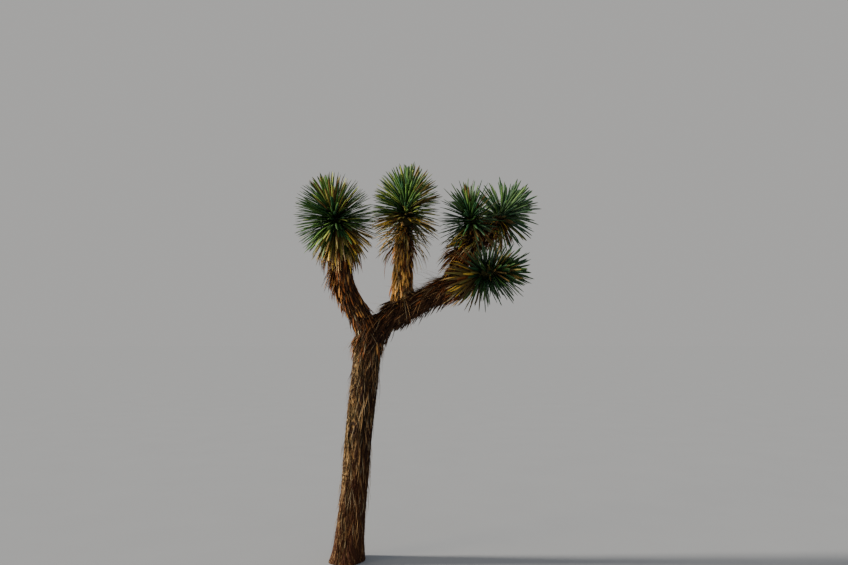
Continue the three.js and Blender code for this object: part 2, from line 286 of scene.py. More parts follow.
# The bark's roughness, how much smoother it is on its fine strings, its gloss, and the strength and
# distance of its bump
BARK_ROUGHNESS = 0.97
SMOOTHER_STRINGS = 0.14
BARK_GLOSS = 0.25
BARK_BUMP = (1.0, 0.009)

# The pattern of fine strings: the noise of their waves, coarse and fine noise across them, the share of
# the coarse in the mask, and the turn of the mask
STRING_WAVES = (14.0, 1.0)
COARSE_STRINGS = (0.35, 3.0)
FINE_STRINGS = (1.0, 2.0)
COARSE_SHARE = 0.6
STRINGS_TURN = (0.36, 0.64)

# The width and length of the strings in the bark, and of those in leaves
BARK_STRINGS = (0.0022, 0.1)
LEAF_STRINGS = (0.006, 0.02)

# The leaves' shapes

# Widths at shares of a leaf's length, and shapes across it: a channelled blade with a keel, and a strip
DAGGER_WIDTHS = ((0.0, 1.7), (0.06, 1.2), (0.16, 1.0), (0.5, 1.0), (0.8, 0.9), (0.93, 0.6), (0.975, 0.25))
DRY_WIDTHS = ((0.0, 1.8), (0.08, 1.2), (0.3, 0.9), (0.6, 0.85), (0.84, 0.5), (0.95, 0.2))
STRIP_WIDTHS = ((0.0, 0.5), (0.25, 1.0), (0.55, 0.8), (0.8, 0.45))
CHANNEL = ((-0.5, 0.12), (0.0, 0.0), (0.5, 0.12), (0.0, -0.17))
STRIP_SECTION = ((-0.5, -0.1), (0.0, 0.12), (0.5, -0.1))

# How far leaves turn on themselves, from root to tip
SKIRT_TWIST = math.radians(50)
THATCH_TWIST = math.radians(40)
STRIP_TWIST = math.radians(25)

# The numbers of a leaf's parts
ROOT, BLADE, SPINE = 0, 1, 2

# The leaves' finishes

# Each finish's colour, roughness and gloss
LEAF_FINISHES = {
    "leaf_deep_green": ("2f5425", 0.5, 0.32),
    "leaf_blue_green": ("2e5c3a", 0.48, 0.36),
    "leaf_mid_green": ("527838", 0.5, 0.32),
    "leaf_yellow_green": ("8fa04a", 0.55, 0.3),
    "leaf_olive": ("706a33", 0.55, 0.35),
    "leaf_umber": ("66542c", 0.65, 0.3),
    "leaf_gold": ("e0b846", 0.6, 0.3),
    "leaf_amber": ("c79150", 0.7, 0.25),
    "leaf_honey": ("eca857", 0.7, 0.25),
    "leaf_straw": ("d6b67e", 0.7, 0.25),
    "leaf_rust": ("84502a", 0.75, 0.2),
    "leaf_brown": ("462f20", 0.8, 0.2),
    "leaf_grey": ("aba084", 0.8, 0.2),
    # The root's colour is darker than a real leaf base: painted shade of the head's heart
    "leaf_root": ("4a5a2a", 0.6, 0.3),
    "leaf_spine": ("5a3c22", 0.6, 0.3),
    "fibre_tan": ("b08e63", 0.85, 0.15),
    "fibre_brown": ("6e4e31", 0.9, 0.15),
    "fibre_grey": ("93866c", 0.9, 0.15),
}

# The darkest and lightest shade of a finish's colour, how much of that goes by the leaf's luck, and the
# painted shade that darkens a leaf towards its root: the shares of its length between which it lightens,
# and how black it is at them
DARKEST = 0.62
LIGHTEST = 1.4
LUCK_SHARE = 0.6
SHADED_ROOT = (0.08, 0.64, 0.7, 0.0)
BLACK = (0.0, 0.0, 0.0, 1.0)

# How much rougher a leaf is on its strings, and the strength and distance of its bump
ROUGHER_STRINGS = 0.12
LEAF_BUMP = (0.4, 0.001)

# The tints that are dealt out to leaves: a finish, and the tones and lucks that get it. A later row takes
# leaves from the rows before it. A tone goes from the youngest leaf at 0 to the oldest at 1
LEAST = -9.0
MOST = 9.0
ANY = (LEAST, MOST)
HEAD_TINTS = (
    ("leaf_deep_green", ANY, ANY),
    ("leaf_blue_green", ANY, (LEAST, 0.22)),
    ("leaf_mid_green", ANY, (0.66, MOST)),
    ("leaf_yellow_green", ANY, (0.9, MOST)),
    ("leaf_olive", (0.80, MOST), (0.25, MOST)),
    ("leaf_umber", (0.83, MOST), (LEAST, 0.55)),
    ("leaf_gold", (0.92, MOST), (0.62, 0.95)),
    ("leaf_straw", (0.97, MOST), (0.95, MOST)),
    ("leaf_rust", (0.98, MOST), (LEAST, 0.3)),
)
SKIRT_TINTS = (
    ("leaf_rust", ANY, ANY),
    ("leaf_brown", ANY, (LEAST, 0.35)),
    ("leaf_straw", ANY, (0.85, MOST)),
    ("leaf_gold", (LEAST, 0.6), (0.6, 0.85)),
    ("leaf_olive", (LEAST, 0.45), (LEAST, 0.6)),
    ("leaf_grey", (0.3, MOST), (0.93, MOST)),
    ("leaf_deep_green", (LEAST, 0.1), (LEAST, 0.8)),
)
DEAD_LEAF_TINTS = (
    ("leaf_rust", ANY, ANY),
    ("leaf_brown", ANY, (LEAST, 0.52)),
    ("leaf_amber", (0.5, MOST), (0.7, 0.9)),
    ("leaf_straw", (0.6, MOST), (0.9, MOST)),
    ("leaf_amber", (LEAST, 0.6), (0.9, MOST)),
    ("leaf_grey", (0.7, MOST), (0.84, 0.94)),
    # Honey goes to leaves whose luck the painted sunlight has lifted past 1, mostly on the sunlit side
    ("leaf_honey", (LEAST, 0.8), (1.0, MOST)),
)
FIBRE_TINTS = (
    ("fibre_brown", ANY, (-1.0, 2.0)),
    ("fibre_tan", ANY, (0.45, 0.8)),
    ("fibre_grey", ANY, (0.8, 1.0)),
)

# How leaves grow on a stem

# The turn from leaf to leaf, and how far apart the seeds of a leaf's random values are
GOLDEN_ANGLE = math.pi * (3 - math.sqrt(5))
SEED_STEP = 17

# How unlike in width leaves are. How near to the side where some are dying a leaf has to point, and the
# tone of a dying one, with its spread
WIDTH_JITTER = 0.15
DYING_TURN = (0.62, 0.9)
DYING_TONE = 0.85
DYING_TONE_SPREAD = 0.06

# The share of a leaf from its root that may lie in wood, the shares at which it is measured against the
# rivals of its head, and the room that it leaves them
ROOTED_SHARE = 0.3
MEASURED_SHARES = (0.5, 0.75, 1.0)
RIVALS_ROOM = 0.02

# The heads of green leaves: the limb that carries each one, the share of it where the head starts, how far
# the leaves stand out, how far the lowest ones fold back, in degrees, how many they are, and how unlike in
# length. At a crowding of 1 they spread evenly, and below it more of them stand near the top. Then how warm
# their green is, the way to their riper side, the longer the riper, and the way to where some of them are
# dying, with the share of those
HEADS = {
    "left_head": dict(
        limb="left_upper", start=0.68, reach=0.306, fold=150, count=520, ragged=0.07, crowding=1.0,
        warmth=-0.04, ripe_side=(0.06, -0.03, 0.02), dying_side=(0.12, -0.65, 0.8), dying_share=0.6,
    ),
    "centre_head": dict(
        limb="centre", start=0.73, reach=0.290, fold=116, count=460, ragged=0.08, crowding=1.0,
        warmth=0.04, ripe_side=(0.0, 0.0, 0.0), dying_side=(0.9, -0.2, 0.5), dying_share=0.4,
    ),
    "low_right_head": dict(
        limb="low_right", start=0.52, reach=0.242, fold=148, count=310, ragged=0.2, crowding=0.62,
        warmth=-0.24, ripe_side=(-0.12, 0.0, 0.04), dying_side=(0.45, -0.9, 0.1), dying_share=0.6,
    ),
    "twin_left_head": dict(
        limb="twin_left", start=0.46, reach=0.260, fold=142, count=290, ragged=0.2, crowding=0.85,
        warmth=-0.22, ripe_side=(0.03, 0.0, 0.0), dying_side=(0.6, -0.4, 0.8), dying_share=0.4,
    ),
    "twin_right_head": dict(
        limb="twin_right", start=0.62, reach=0.268, fold=142, count=300, ragged=0.2, crowding=0.85,
        warmth=-0.26, ripe_side=(0.0, 0.0, 0.0), dying_side=(-0.7, -0.2, -0.7), dying_share=0.4,
    ),
}

# A head's lowest leaf stands this share of the limb above the head's start: 32 mm on a limb of 0.45 m
HEAD_MARGIN = 0.032 / 0.45

# The short young leaves round each head's heart: how many they are, their share of the head's reach, and
# how they differ from the others
YOUNG_LEAVES = 140
YOUNG_REACH = 0.42
YOUNG_GROWTH = {
    "Lowest Lean": math.radians(112), "Crowding": 1.0, "Reach Jitter": 0.35, "Bow": 0.1, "Bow Jitter": 0.25,
    "Age": -0.25, "Dying Share": 0.0,
}

# The first head's seeds, for its leaves and its young leaves. Each further head's are one higher
HEAD_SEED = 11
YOUNG_SEED = 61

# The skirts of dry leaves: the stretch of limb under each head, how far the leaves stand out, the leans of
# the lowest and highest ones from the limb's growing direction, in degrees, how many they are, and how
# much older than usual
SKIRTS = {
    "left_skirt": dict(
        limb="left_upper", span=(0.36, 0.68), reach=0.235, leans=(166, 144), count=200, age=-0.25,
    ),
    "centre_skirt": dict(
        limb="centre", span=(0.54, 0.73), reach=0.268, leans=(142, 96), count=110, age=-0.3,
    ),
    "low_right_skirt": dict(
        limb="low_right", span=(0.2, 0.52), reach=0.215, leans=(164, 140), count=130, age=0.0,
    ),
    "high_right_skirt": dict(
        limb="high_right", span=(0.58, 1.0), reach=0.240, leans=(158, 130), count=180, age=0.0,
    ),
    "twin_right_skirt": dict(
        limb="twin_right", span=(0.34, 0.62), reach=0.220, leans=(158, 132), count=90, age=0.0,
    ),
}

# How far above a skirt's start its lowest leaf stands, its leaves' share of its reach, and how they grow
SKIRT_MARGIN = 0.03
SKIRT_REACH = 0.93
SKIRT_GROWTH = {
    "Lean Jitter": math.radians(9), "Turn Jitter": math.radians(25), "Reach Jitter": 0.13, "Bow": 0.09,
    "Bow Jitter": 0.06, "Sag": 0.04,
}

# The strays that stand off a skirt: how many leaves there are to each one, their shares of its reach and of
# a dry leaf's width, and how they grow
LEAVES_PER_STRAY = 6
STRAY_REACH = 1.12
STRAY_WIDTH = 0.8
STRAY_GROWTH = {
    "Lowest Lean": math.radians(158), "Highest Lean": math.radians(136), "Lean Jitter": math.radians(8),
    "Turn Jitter": math.radians(60), "Reach Jitter": 0.1, "Bow": 0.12, "Bow Jitter": 0.05,
}

# The first skirt's seeds, for its leaves and its strays. Each further skirt's are one higher
SKIRT_SEED = 29
STRAY_SEED = 41

# A point that is far from every leaf, for leaves that have no rivals
FAR_POINT = (0.0, 0.0, 90.0)

# How leaves and fibres lie on bark

# How far they keep above the ground, how deep their roots lie in the bark, and how far apart the seeds of
# one's random values are
GROUND_ROOM = 0.06
ROOTS_DEPTH = 0.01
THATCH_SEED_STEP = 23

# What each one's own width, hang, lift, bow and sag are multiplied by, at the least and at the most
WIDTHS = (0.7, 1.25)
HANGS = (-1.4, -0.6)
LIFTS = (0.1, 1.9)
BOWS = (-0.6, 1.6)
SAGS = (0.0, 2.0)

# The noise of the patches in which they lie dense, and what it makes of their number. How a surface faces,
# up to which it counts as the underside. The noise of the shaggy places, with its turn there
DENSE_NOISE = (7.0, 2.0)
DENSE_TURN = (0.32, 0.55, 0.35, 1.0)
UNDERSIDE_TURN = (-0.75, -0.1, 1.0, 0.0)
SHAG_NOISE = (9.0, 1.0)
SHAG_TURN = (0.5, 0.66)

# Where in its reach the tuft fades out, how much shaggier it is, and how much shag lifts and lengthens
# leaves
TUFT_TURN = (0.4, 1.0, 1.0, 0.0)
TUFT_SHAG = 1.3
SHAG_LIFT = 2.0
SHAG_LENGTH = 0.25

# The tuft of dead leaves on the left bough's bend
TUFT = (-0.13, -0.14, 2.26)
TUFT_REACH = 0.10

# How warm the dead leaves are on each bark, and how much warmer and lighter on its sunlit side: painted
# sunlight
DEAD_WARMTH = {
    "trunk": (-0.2, 0.2),
    "right_bough": (-0.48, 0.2),
    "left_bough": (-0.18, 0.2),
    "centre_bough": (0.1, 0.8),
    "high_bough": (-0.25, 0.2),
    "twin_bough": (0.0, 0.2),
}

# The layers on each bark. kind says what they are of, over which of the bark's measures says where they
# lie, and density which setting gives their number, times share. seed is the first bark's, and growth says
# how they lie
LAYERS = (
    dict(name="old_bases", kind="leaves", over="cover", density="density", share=1.0, seed=31, growth={
        "Width": 0.019, "Shortest": 0.04, "Longest": 0.095, "Weight": 0.3, "Lift": 0.12, "Shag": 0.3,
    }),
    dict(name="dead_leaves", kind="leaves", over="cover", density="density", share=0.5, seed=51, growth={
        "Shortest": 0.06, "Longest": 0.155, "Weight": 0.5, "Lift": 0.14, "Shag": 0.6,
        "Tuft": TUFT, "Tuft Reach": TUFT_REACH,
    }),
    dict(name="fringe", kind="fibres", over="cover", density="fringe_density", share=1.0, seed=91, growth={
        "Width": 0.0045, "Shortest": 0.08, "Longest": 0.24, "Weight": 1.3, "Fold": 0.5, "Spread": 0.4,
        "Lift": 0.3, "Bow": 0.06, "Sag": 0.1, "Underside": 1.0,
    }),
    dict(name="fibres", kind="fibres", over="in_open", density="fibre_density", share=1.0, seed=71, growth={
        "Width": 0.0045, "Shortest": 0.05, "Longest": 0.19, "Weight": 0.2, "Spread": 0.35, "Lift": 0.05,
        "Bow": 0.08, "Sag": 0.01,
    }),
)

# The stage

# The floor: its radius, the sides of its edge, its middle, and its shades with the noise that mixes them
FLOOR_RADIUS = 300.0
FLOOR_SIDES = 96
FLOOR_MIDDLE = (0.5, 0.0, -0.002)
FLOOR_SHADES = ((0.285, 0.312, 0.361, 1.0), (0.303, 0.332, 0.383, 1.0))
FLOOR_NOISE = (1.5, 3.0)

# The light that comes from all sides
AIR = (0.88, 0.87, 0.85, 1.0)
AIR_STRENGTH = 0.5

# The camera's sensor, in millimetres, and how far it sees
SENSOR_WIDTH = 36.0
SIGHT = 500.0

# Each light's setting, its width in degrees, its tint, and how it is turned about X and Z, in degrees
LIGHTS = {
    "low_sun": dict(setting="sun", width=6, tint=(1.0, 0.88, 0.7), turned=(62, -91)),
    "glow": dict(setting="glow", width=20, tint=(1.0, 0.74, 0.45), turned=(80, -62)),
}


# Formulas in node trees


class Formula:
    """A node's output. The formulas written with it add the math nodes that work them out."""

    def __init__(self, socket):
        self.socket = socket
        self.tree = socket.id_data

    def __add__(self, other):
        return operate("ADD", self, other)

    def __radd__(self, other):
        return operate("ADD", other, self)

    def __sub__(self, other):
        return operate("SUBTRACT", self, other)

    def __rsub__(self, other):
        return operate("SUBTRACT", other, self)

    def __mul__(self, other):
        return operate("MULTIPLY", self, other)

    def __truediv__(self, other):
        return operate("DIVIDE", self, other)

    def __pow__(self, other):
        return operate("POWER", self, other)


def is_vector(value):
    if isinstance(value, Formula):
        return value.socket.type in ("VECTOR", "RGBA")
    return isinstance(value, (tuple, list))


def feed(node, inputs):
    """Gives a node's inputs, by name or number, a value each, or what they are linked from."""
    for key, value in inputs.items():
        if isinstance(value, Formula):
            value = value.socket
        if isinstance(value, bpy.types.NodeSocket):
            node.id_data.links.new(value, node.inputs[key])
        else:
            node.inputs[key].default_value = value


def put(tree, kind, inputs=None, **settings):
    """Adds a node with its settings and inputs."""
    node = tree.nodes.new(kind)
    for name, value in settings.items():
        setattr(node, name, value)
    feed(node, inputs or {})
    return node


def read(tree, kind, output=0):
    """What a node without inputs puts out."""
    return Formula(put(tree, kind).outputs[output])


def operate(operation, *values):
    """A math node on numbers, or a vector math node where a value is a vector."""
    tree = next(value.tree for value in values if isinstance(value, Formula))
    vectors = [value for value in values if is_vector(value)]
    if not vectors:
        node = put(tree, "ShaderNodeMath", dict(enumerate(values)), operation=operation)
        return Formula(node.outputs[0])
    numbers = [value for value in values if not is_vector(value)]
    if operation == "MULTIPLY" and numbers:
        node = put(tree, "ShaderNodeVectorMath", {0: vectors[0], 3: numbers[0]}, operation="SCALE")
        return Formula(node.outputs[0])
    node = put(tree, "ShaderNodeVectorMath", dict(enumerate(values)), operation=operation)
    return Formula(node.outputs["Value" if operation in ("DOT_PRODUCT", "LENGTH", "DISTANCE") else "Vector"])


def unit(vector):
    return operate("NORMALIZE", vector)


def dot(one, other):
    return operate("DOT_PRODUCT", one, other)


def mix(low, high, share):
    return low + (high - low) * share


def ramp(value, start, end, low=0.0, high=1.0):
    """A smooth rise from low to high as value goes from start to end."""
    inputs = {0: value, 1: start, 2: end, 3: low, 4: high}
    return Formula(put(value.tree, "ShaderNodeMapRange", inputs, interpolation_type="SMOOTHSTEP").outputs[0])


def parts_of(vector):
    """A vector's x, y and z."""
    return [Formula(socket) for socket in put(vector.tree, "ShaderNodeSeparateXYZ", {0: vector}).outputs]


def vector_of(x, y, z):
    """A vector of three numbers, of which z is a formula."""
    return Formula(put(z.tree, "ShaderNodeCombineXYZ", {0: x, 1: y, 2: z}).outputs[0])


def noise(vector, scale, detail, output=0):
    """Noise round 0.5, over a vector's places."""
    inputs = {"Vector": vector, "Scale": scale, "Detail": detail}
    return Formula(put(vector.tree, "ShaderNodeTexNoise", inputs).outputs[output])


def waver(vector, scale, detail, reach):
    """Noise round 0, with this much between its lowest and its highest."""
    return (noise(vector, scale, detail) - 0.5) * reach


def weighed(weights, masks):
    """The sum of masks by their weights."""
    total, *others = (masks[name] * weight for name, weight in weights.items())
    for other in others:
        total = total + other
    return total


def geometry_group(name, inputs):
    """A Geometry Nodes group with these named inputs, as {name: (socket type, default)}. Gives its tree, its
    geometry, its inputs and the function that ends it."""
    tree = bpy.data.node_groups.new(name, "GeometryNodeTree")
    tree.interface.new_socket("Geometry", in_out="INPUT", socket_type="NodeSocketGeometry")
    for label, (kind, default) in inputs.items():
        socket = tree.interface.new_socket(label, in_out="INPUT", socket_type="NodeSocket" + kind)
        if default is not None:
            socket.default_value = default
    tree.interface.new_socket("Geometry", in_out="OUTPUT", socket_type="NodeSocketGeometry")
    given = put(tree, "NodeGroupInput").outputs
    values = {label: Formula(given[label]) for label in inputs}

    def end(geometry):
        put(tree, "NodeGroupOutput", {0: geometry})

    return tree, given[0], values, end


def attribute(tree, name, kind="FLOAT"):
    node = put(tree, "GeometryNodeInputNamedAttribute", {"Name": name}, data_type=kind)
    return Formula(node.outputs[0])


def vector_attribute(tree, name):
    return attribute(tree, name, "FLOAT_VECTOR")


def stored(geometry, values):
    """The geometry with values stored on its points, as {name: formula}."""
    for name, value in values.items():
        kind = "FLOAT_VECTOR" if is_vector(value) else "FLOAT"
        inputs = {"Geometry": geometry, "Name": name, "Value": value}
        node = put(value.tree, "GeometryNodeStoreNamedAttribute", inputs, data_type=kind, domain="POINT")
        geometry = node.outputs[0]
    return geometry


def without(geometry, chosen):
    """The geometry without the chosen points."""
    inputs = {"Geometry": geometry, "Selection": chosen}
    return put(chosen.tree, "GeometryNodeDeleteGeometry", inputs).outputs[0]


def shifted(geometry, offset):
    """The geometry with its points moved."""
    inputs = {"Geometry": geometry, "Offset": offset}
    return put(offset.tree, "GeometryNodeSetPosition", inputs).outputs[0]


def run_nodes(piece, tree, values):
    """Runs a Geometry Nodes group on a piece, with its inputs given by name, and keeps the plain mesh."""
    modifier = piece.modifiers.new(tree.name, "NODES")
    modifier.node_group = tree
    identifiers = {item.name: item.identifier for item in tree.interface.items_tree if item.in_out == "INPUT"}
    for name, value in values.items():
        modifier[identifiers[name]] = value
    graph = bpy.context.evaluated_depsgraph_get()
    grown_mesh = bpy.data.meshes.new_from_object(piece.evaluated_get(graph), depsgraph=graph)
    old = piece.data
    piece.modifiers.clear()
    piece.data = grown_mesh
    bpy.data.meshes.remove(old)
    grown_mesh.name = piece.name


# Pieces and helpers


def linked(name, mesh):
    piece = bpy.data.objects.new(name, mesh)
    bpy.context.scene.collection.objects.link(piece)
    return piece


def finished(piece, slot, nodes=()):
    """Hands a piece to the frame: it rides on the tree's only body and stands for its nodes."""
    piece.data.shade_smooth()
    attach(piece, "root")
    if nodes:
        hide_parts(*nodes)
    return piece


def grown(name, mesh, tree, values, slot, nodes=()):
    """A finished piece that a Geometry Nodes group grows from a mesh."""
    piece = linked(name, mesh)
    run_nodes(piece, tree, values)
    return finished(piece, slot, nodes)


def joined_copy(name, pieces):
    """One object of copies of several pieces' meshes."""
    form = bmesh.new()
    for piece in pieces:
        form.from_mesh(piece.data)
    mesh = bpy.data.meshes.new(name)
    form.to_mesh(mesh)
    form.free()
    return linked(name, mesh)


def wood_helper():
    """The copy of all the bark that leaves are measured against."""
    made = bpy.data.objects.get("wood_helper")
    if made is None:
        raise RuntimeError("the bark is grown before the leaves")
    return made


def remove_helpers(*names):
    """Removes the objects that were only there to be copied or measured against."""
    for helper in [item for item in bpy.data.objects if item.name.split(".")[0] in names]:
        mesh = helper.data
        bpy.data.objects.remove(helper)
        bpy.data.meshes.remove(mesh)


# The paths of the limbs


def normalised(vectors):
    return vectors / np.linalg.norm(vectors, axis=-1, keepdims=True)


def smooth_step(value, start, end):
    share = np.clip((value - start) / (end - start), 0, 1)
    return share * share * (3 - 2 * share)


def ways_along(points):
    """How far along its path each point lies."""
    return np.concatenate([[0], np.cumsum(np.linalg.norm(np.diff(points, axis=0), axis=1))])


def at_ways(points, ways, wanted):
    """A path's values at the wanted ways along it."""
    return np.stack([np.interp(wanted, ways, column) for column in points.T], axis=-1)


def plain_radii(name, shares, length):
    """The radii of a limb's wood, before it swells towards the limbs that it meets."""
    limb = LIMBS[name]
    foot, tip = limb["radii"]
    if name == "trunk":
        flare = FOOT_FLARE * np.exp(-length * shares / FOOT_FLARE_HEIGHT)
        return foot + (tip - foot) * shares**TRUNK_TAPER + flare
    taper = shares**BUD_TAPER if limb["ends"][1].endswith("bud") else shares
    inside = smooth_step(length * shares, 0, foot) if limb["inside"] else np.ones_like(shares)
    return (foot + (tip - foot) * taper) * (ROOT_SHARE + (1 - ROOT_SHARE) * inside)


def limb_path(name, count=PATH_POINTS):
    """A limb's middle line and its radii, at even steps: a Bezier curve whose handles are a third of its
    length."""
    limb = LIMBS[name]
    start, end = (np.array(JOINTS[joint]) for joint in limb["ends"])
    leave, arrive = (normalised(np.array(way, float)) for way in limb["ways"])
    handle = np.linalg.norm(end - start) / 3
    t = np.linspace(0, 1, count)[:, None]
    corners = (start, start + leave * handle, end - arrive * handle, end)
    weights = ((1 - t) ** 3, 3 * (1 - t) ** 2 * t, 3 * (1 - t) * t**2, t**3)
    points = sum(weight * corner for weight, corner in zip(weights, corners))
    ways = ways_along(points)
    even = np.linspace(0, ways[-1], count)
    return at_ways(points, ways, even), plain_radii(name, even / ways[-1], ways[-1])


def stem_mesh(name, limb, start=0.0):
    """A limb's middle line as a mesh of edges, with its radii."""
    points, radii = limb_path(limb, STEM_POINTS)
    first = round(start * (len(points) - 1))
    points, radii = points[first:], radii[first:]
    mesh = bpy.data.meshes.new(name)
    mesh.from_pydata(points.tolist(), [(i, i + 1) for i in range(len(points) - 1)], [])
    mesh.attributes.new("radius", "FLOAT", "POINT").data.foreach_set("value", radii.astype(np.float32))
    return mesh


def main_ridges(height, turn):
    """How far the trunk's main ridges stand out at a height, and at a turn round it."""
    fade = 1 - smooth_step(height, *RIDGES_FADE)
    return RIDGE_HEIGHT * fade * np.sin(RIDGES * turn + RIDGE_WANDER * np.sin(height / RIDGE_RUN))


def meet(one, other):
    return other in LIMBS[one]["inside"] or one in LIMBS[other]["inside"]


def swelling(points, names):
    """How far the bark swells at some points of a skin, towards the limbs that meet it."""
    swell = np.zeros(len(points))
    others = [other for other in LIMBS if other not in names and any(meet(other, name) for name in names)]
    for other in others:
        centres, radii = limb_path(other, SWELLING_POINTS)
        gaps = np.min(np.linalg.norm(points[:, None] - centres, axis=2) - radii, axis=1)
        near = np.clip(1 - np.abs(gaps) / COLLAR_REACH, 0, None)
        swell = np.maximum(swell, COLLAR_HEIGHT * near**2)
    return swell


def smoothed(values, steps):
    """Values along a path, evened out over some steps to each side. The ends stay where they are."""
    before = 2 * values[:1] - values[steps:0:-1]
    after = 2 * values[-1:] - values[-2:-steps - 2:-1]
    padded = np.concatenate([before, values, after])
    kernel = np.hanning(2 * steps + 3)[1:-1]
    kernel = kernel / kernel.sum()
    return np.stack([np.convolve(column, kernel, "valid") for column in padded.T], axis=-1)


def skin_path(skin):
    """The path of a skin that runs over one limb after another: its points with their radii, cover and
    whether they are in the open, how far along it each one lies, and how far each limb's start."""
    rows, starts, total = [], {}, 0.0
    names = skin["limbs"]
    for name, following in zip(names, names[1:] + (None,)):
        points, radii = limb_path(name)
        shares = np.linspace(0, 1, len(points))
        in_open = shares < min([head["start"] for head in HEADS.values() if head["limb"] == name], default=1)
        cover = np.clip(np.interp(shares, (0, 1), COVER[name]), 0, 1) * in_open
        limb_rows = np.column_stack([points, radii, cover, in_open])
        if following:
            heart = np.array(JOINTS[LIMBS[following]["ends"][0]])
            limb_rows = limb_rows[: np.argmin(np.linalg.norm(points - heart, axis=1))]
        if name == names[0] and skin["start"] > 0:
            limb_rows = limb_rows[round(skin["start"] * len(points)):]
            limb_rows[:, 3] *= SLIMMER
        if rows:
            near = slice(0, round(JOINED_SHARE * len(points)))
            least = LIMBS[name]["radii"][0] * JOINED_THICKNESS
            limb_rows[near, 3] = np.maximum(limb_rows[near, 3], least)
        starts[name] = total
        rows.append(limb_rows)
        joined = np.concatenate(rows)
        ways = ways_along(joined[:, :3])
        total = ways[-1]
    even = np.linspace(0, total, round(total / skin["step"]))
    reach = round(BEND_REACH / (even[1] - even[0]))
    return smoothed(at_ways(joined, ways, even), reach), even, starts


# The bark


def ring_frames(points):
    """The directions along a path, and the two across it."""
    along = normalised(np.gradient(points, axis=0))
    across = np.array(FRONT_TO_BACK) - along * (along @ np.array(FRONT_TO_BACK))[:, None]
    across = normalised(across)
    return along, across, np.cross(across, along)


def tube_mesh(name, rings, sides, values):
    """A closed tube through rings of points, with a point in the middle of each end. values holds what each
    point of it carries."""
    count = len(rings)
    grid = np.arange(count * sides).reshape(count, sides)
    turned = np.roll(grid, -1, axis=1)
    walls = np.stack([grid[:-1], turned[:-1], turned[1:], grid[1:]], axis=-1).reshape(-1, 4)
    foot, tip = count * sides, count * sides + 1
    foot_fan = [(foot, b, a) for a, b in zip(grid[0], turned[0])]
    tip_fan = [(tip, a, b) for a, b in zip(grid[-1], turned[-1])]
    points = np.concatenate([rings.reshape(-1, 3), rings[0].mean(0)[None], rings[-1].mean(0)[None]])
    mesh = bpy.data.meshes.new(name)
    mesh.from_pydata(points.tolist(), [], walls.tolist() + foot_fan + tip_fan)
    for label, per_point in values.items():
        ends = (per_point[0, :1], per_point[-1, :1])
        per_point = np.concatenate([per_point.reshape(count * sides, -1), *ends])
        kind, field = ("FLOAT", "value") if per_point.shape[1] == 1 else ("FLOAT_VECTOR", "vector")
        data = mesh.attributes.new(label, kind, "POINT").data
        data.foreach_set(field, per_point.astype(np.float32).ravel())
    return mesh


def bark_blanks(skin):
    """The smooth tubes of one skin, cut into its pieces, each with what its points carry: their places on
    the bark rolled out straight, the ways along and out of the limb, the turn round it, how much dead leaves
    cover the bark, whether it is in the open, and its youth."""
    values, ways, starts = skin_path(skin)
    points, radii, cover, in_open = values[:, :3], values[:, 3], values[:, 4], values[:, 5]
    along, across, up = ring_frames(points)
    turns = np.linspace(0, 2 * np.pi, skin["sides"], endpoint=False)
    outward = across[:, None] * np.cos(turns)[None, :, None] + up[:, None] * np.sin(turns)[None, :, None]
    ridged = radii[:, None] + main_ridges(points[:, 2:3], np.arctan2(outward[..., 0], outward[..., 1]))
    plain = points[:, None] + outward * ridged[..., None]
    shape = plain.shape[:2]
    swell = swelling(plain.reshape(-1, 3), skin["limbs"]).reshape(shape)
    rings = plain + outward * (swell - DEAD_LEAF_DEPTH * cover[:, None])[..., None]

    def all_round(per_ring):
        return np.broadcast_to(per_ring[:, None], shape)[..., None]

    rolled_out = (radii[:, None] * np.cos(turns), radii[:, None] * np.sin(turns), all_round(ways)[..., 0])
    carried = {
        "straight": np.stack(rolled_out, axis=-1),
        "limb_way": np.broadcast_to(along[:, None], (*shape, 3)),
        "outward": outward,
        "turn": np.broadcast_to(turns, shape)[..., None],
        "cover": all_round(cover),
        "in_open": all_round(in_open),
        "young": all_round(smooth_step(points[:, 2], *YOUNG_HEIGHTS)),
    }
    cuts = [int(np.searchsorted(ways, starts[limb])) for _, limb, _ in skin["pieces"]] + [len(ways) - 1]
    for (name, _, nodes), first, last in zip(skin["pieces"], cuts, cuts[1:]):
        part = slice(first, last + 1)
        values = {label: value[part] for label, value in carried.items()}
        yield name, nodes, tube_mesh(name, rings[part], skin["sides"], values)


def rope_net(straight, slow, given):
    """Old bark: ropes that run up it in two families, which sway against each other and so net round long
    hollows, and finer strands inside the hollows."""
    turn = attribute(straight.tree, "turn")
    way = parts_of(straight)[2]
    drift = waver(slow, *ROPE_DRIFT)
    sway = operate("SINE", way / given["Rope Length"] * (2 * math.pi) + waver(slow, *ROPE_SWAY))
    thickness = ramp(noise(slow, *THICKNESS_NOISE), *ROPE_THICKNESS)

    def family(side, number, thick):
        own = waver(slow + (side * FAMILY_SHIFT, 0.0, 0.0), *ROPE_WANDER)
        phase = turn * (number / 2) + (drift + sway * side) * (number / given["Ropes"]) + own
        return ramp(operate("ABSOLUTE", operate("SINE", phase)), 0.0, thick, 1.0, 0.0)

    def net(side, number, thick):
        return operate("MAXIMUM", family(side, number, thick), family(-side, number, thick))

    ropes = net(1, given["Ropes"], thickness)
    strands = net(2, given["Ropes"] * STRANDS_PER_ROPE, STRAND_THICKNESS)
    return operate("MAXIMUM", ropes * ROPE_SHARE, strands * STRAND_SHARE) + ropes * strands * CROSSING_SHARE


def leaf_bases(straight, given):
    """Young bark: old leaf bases, thickest at their lower ends."""
    cell = vector_of(given["Base Width"], given["Base Width"], given["Base Length"])
    places = operate("DIVIDE", straight, cell)
    inputs = {"Vector": places, "Scale": 1.0, "Randomness": BASE_UNEVENNESS}
    base = put(straight.tree, "ShaderNodeTexVoronoi", inputs, feature="F1")
    lower = parts_of(Formula(base.outputs["Position"]) - places)[2]
    return ramp(lower, *BASE_RISE) * ramp(Formula(base.outputs["Distance"]), *BASE_FALL)


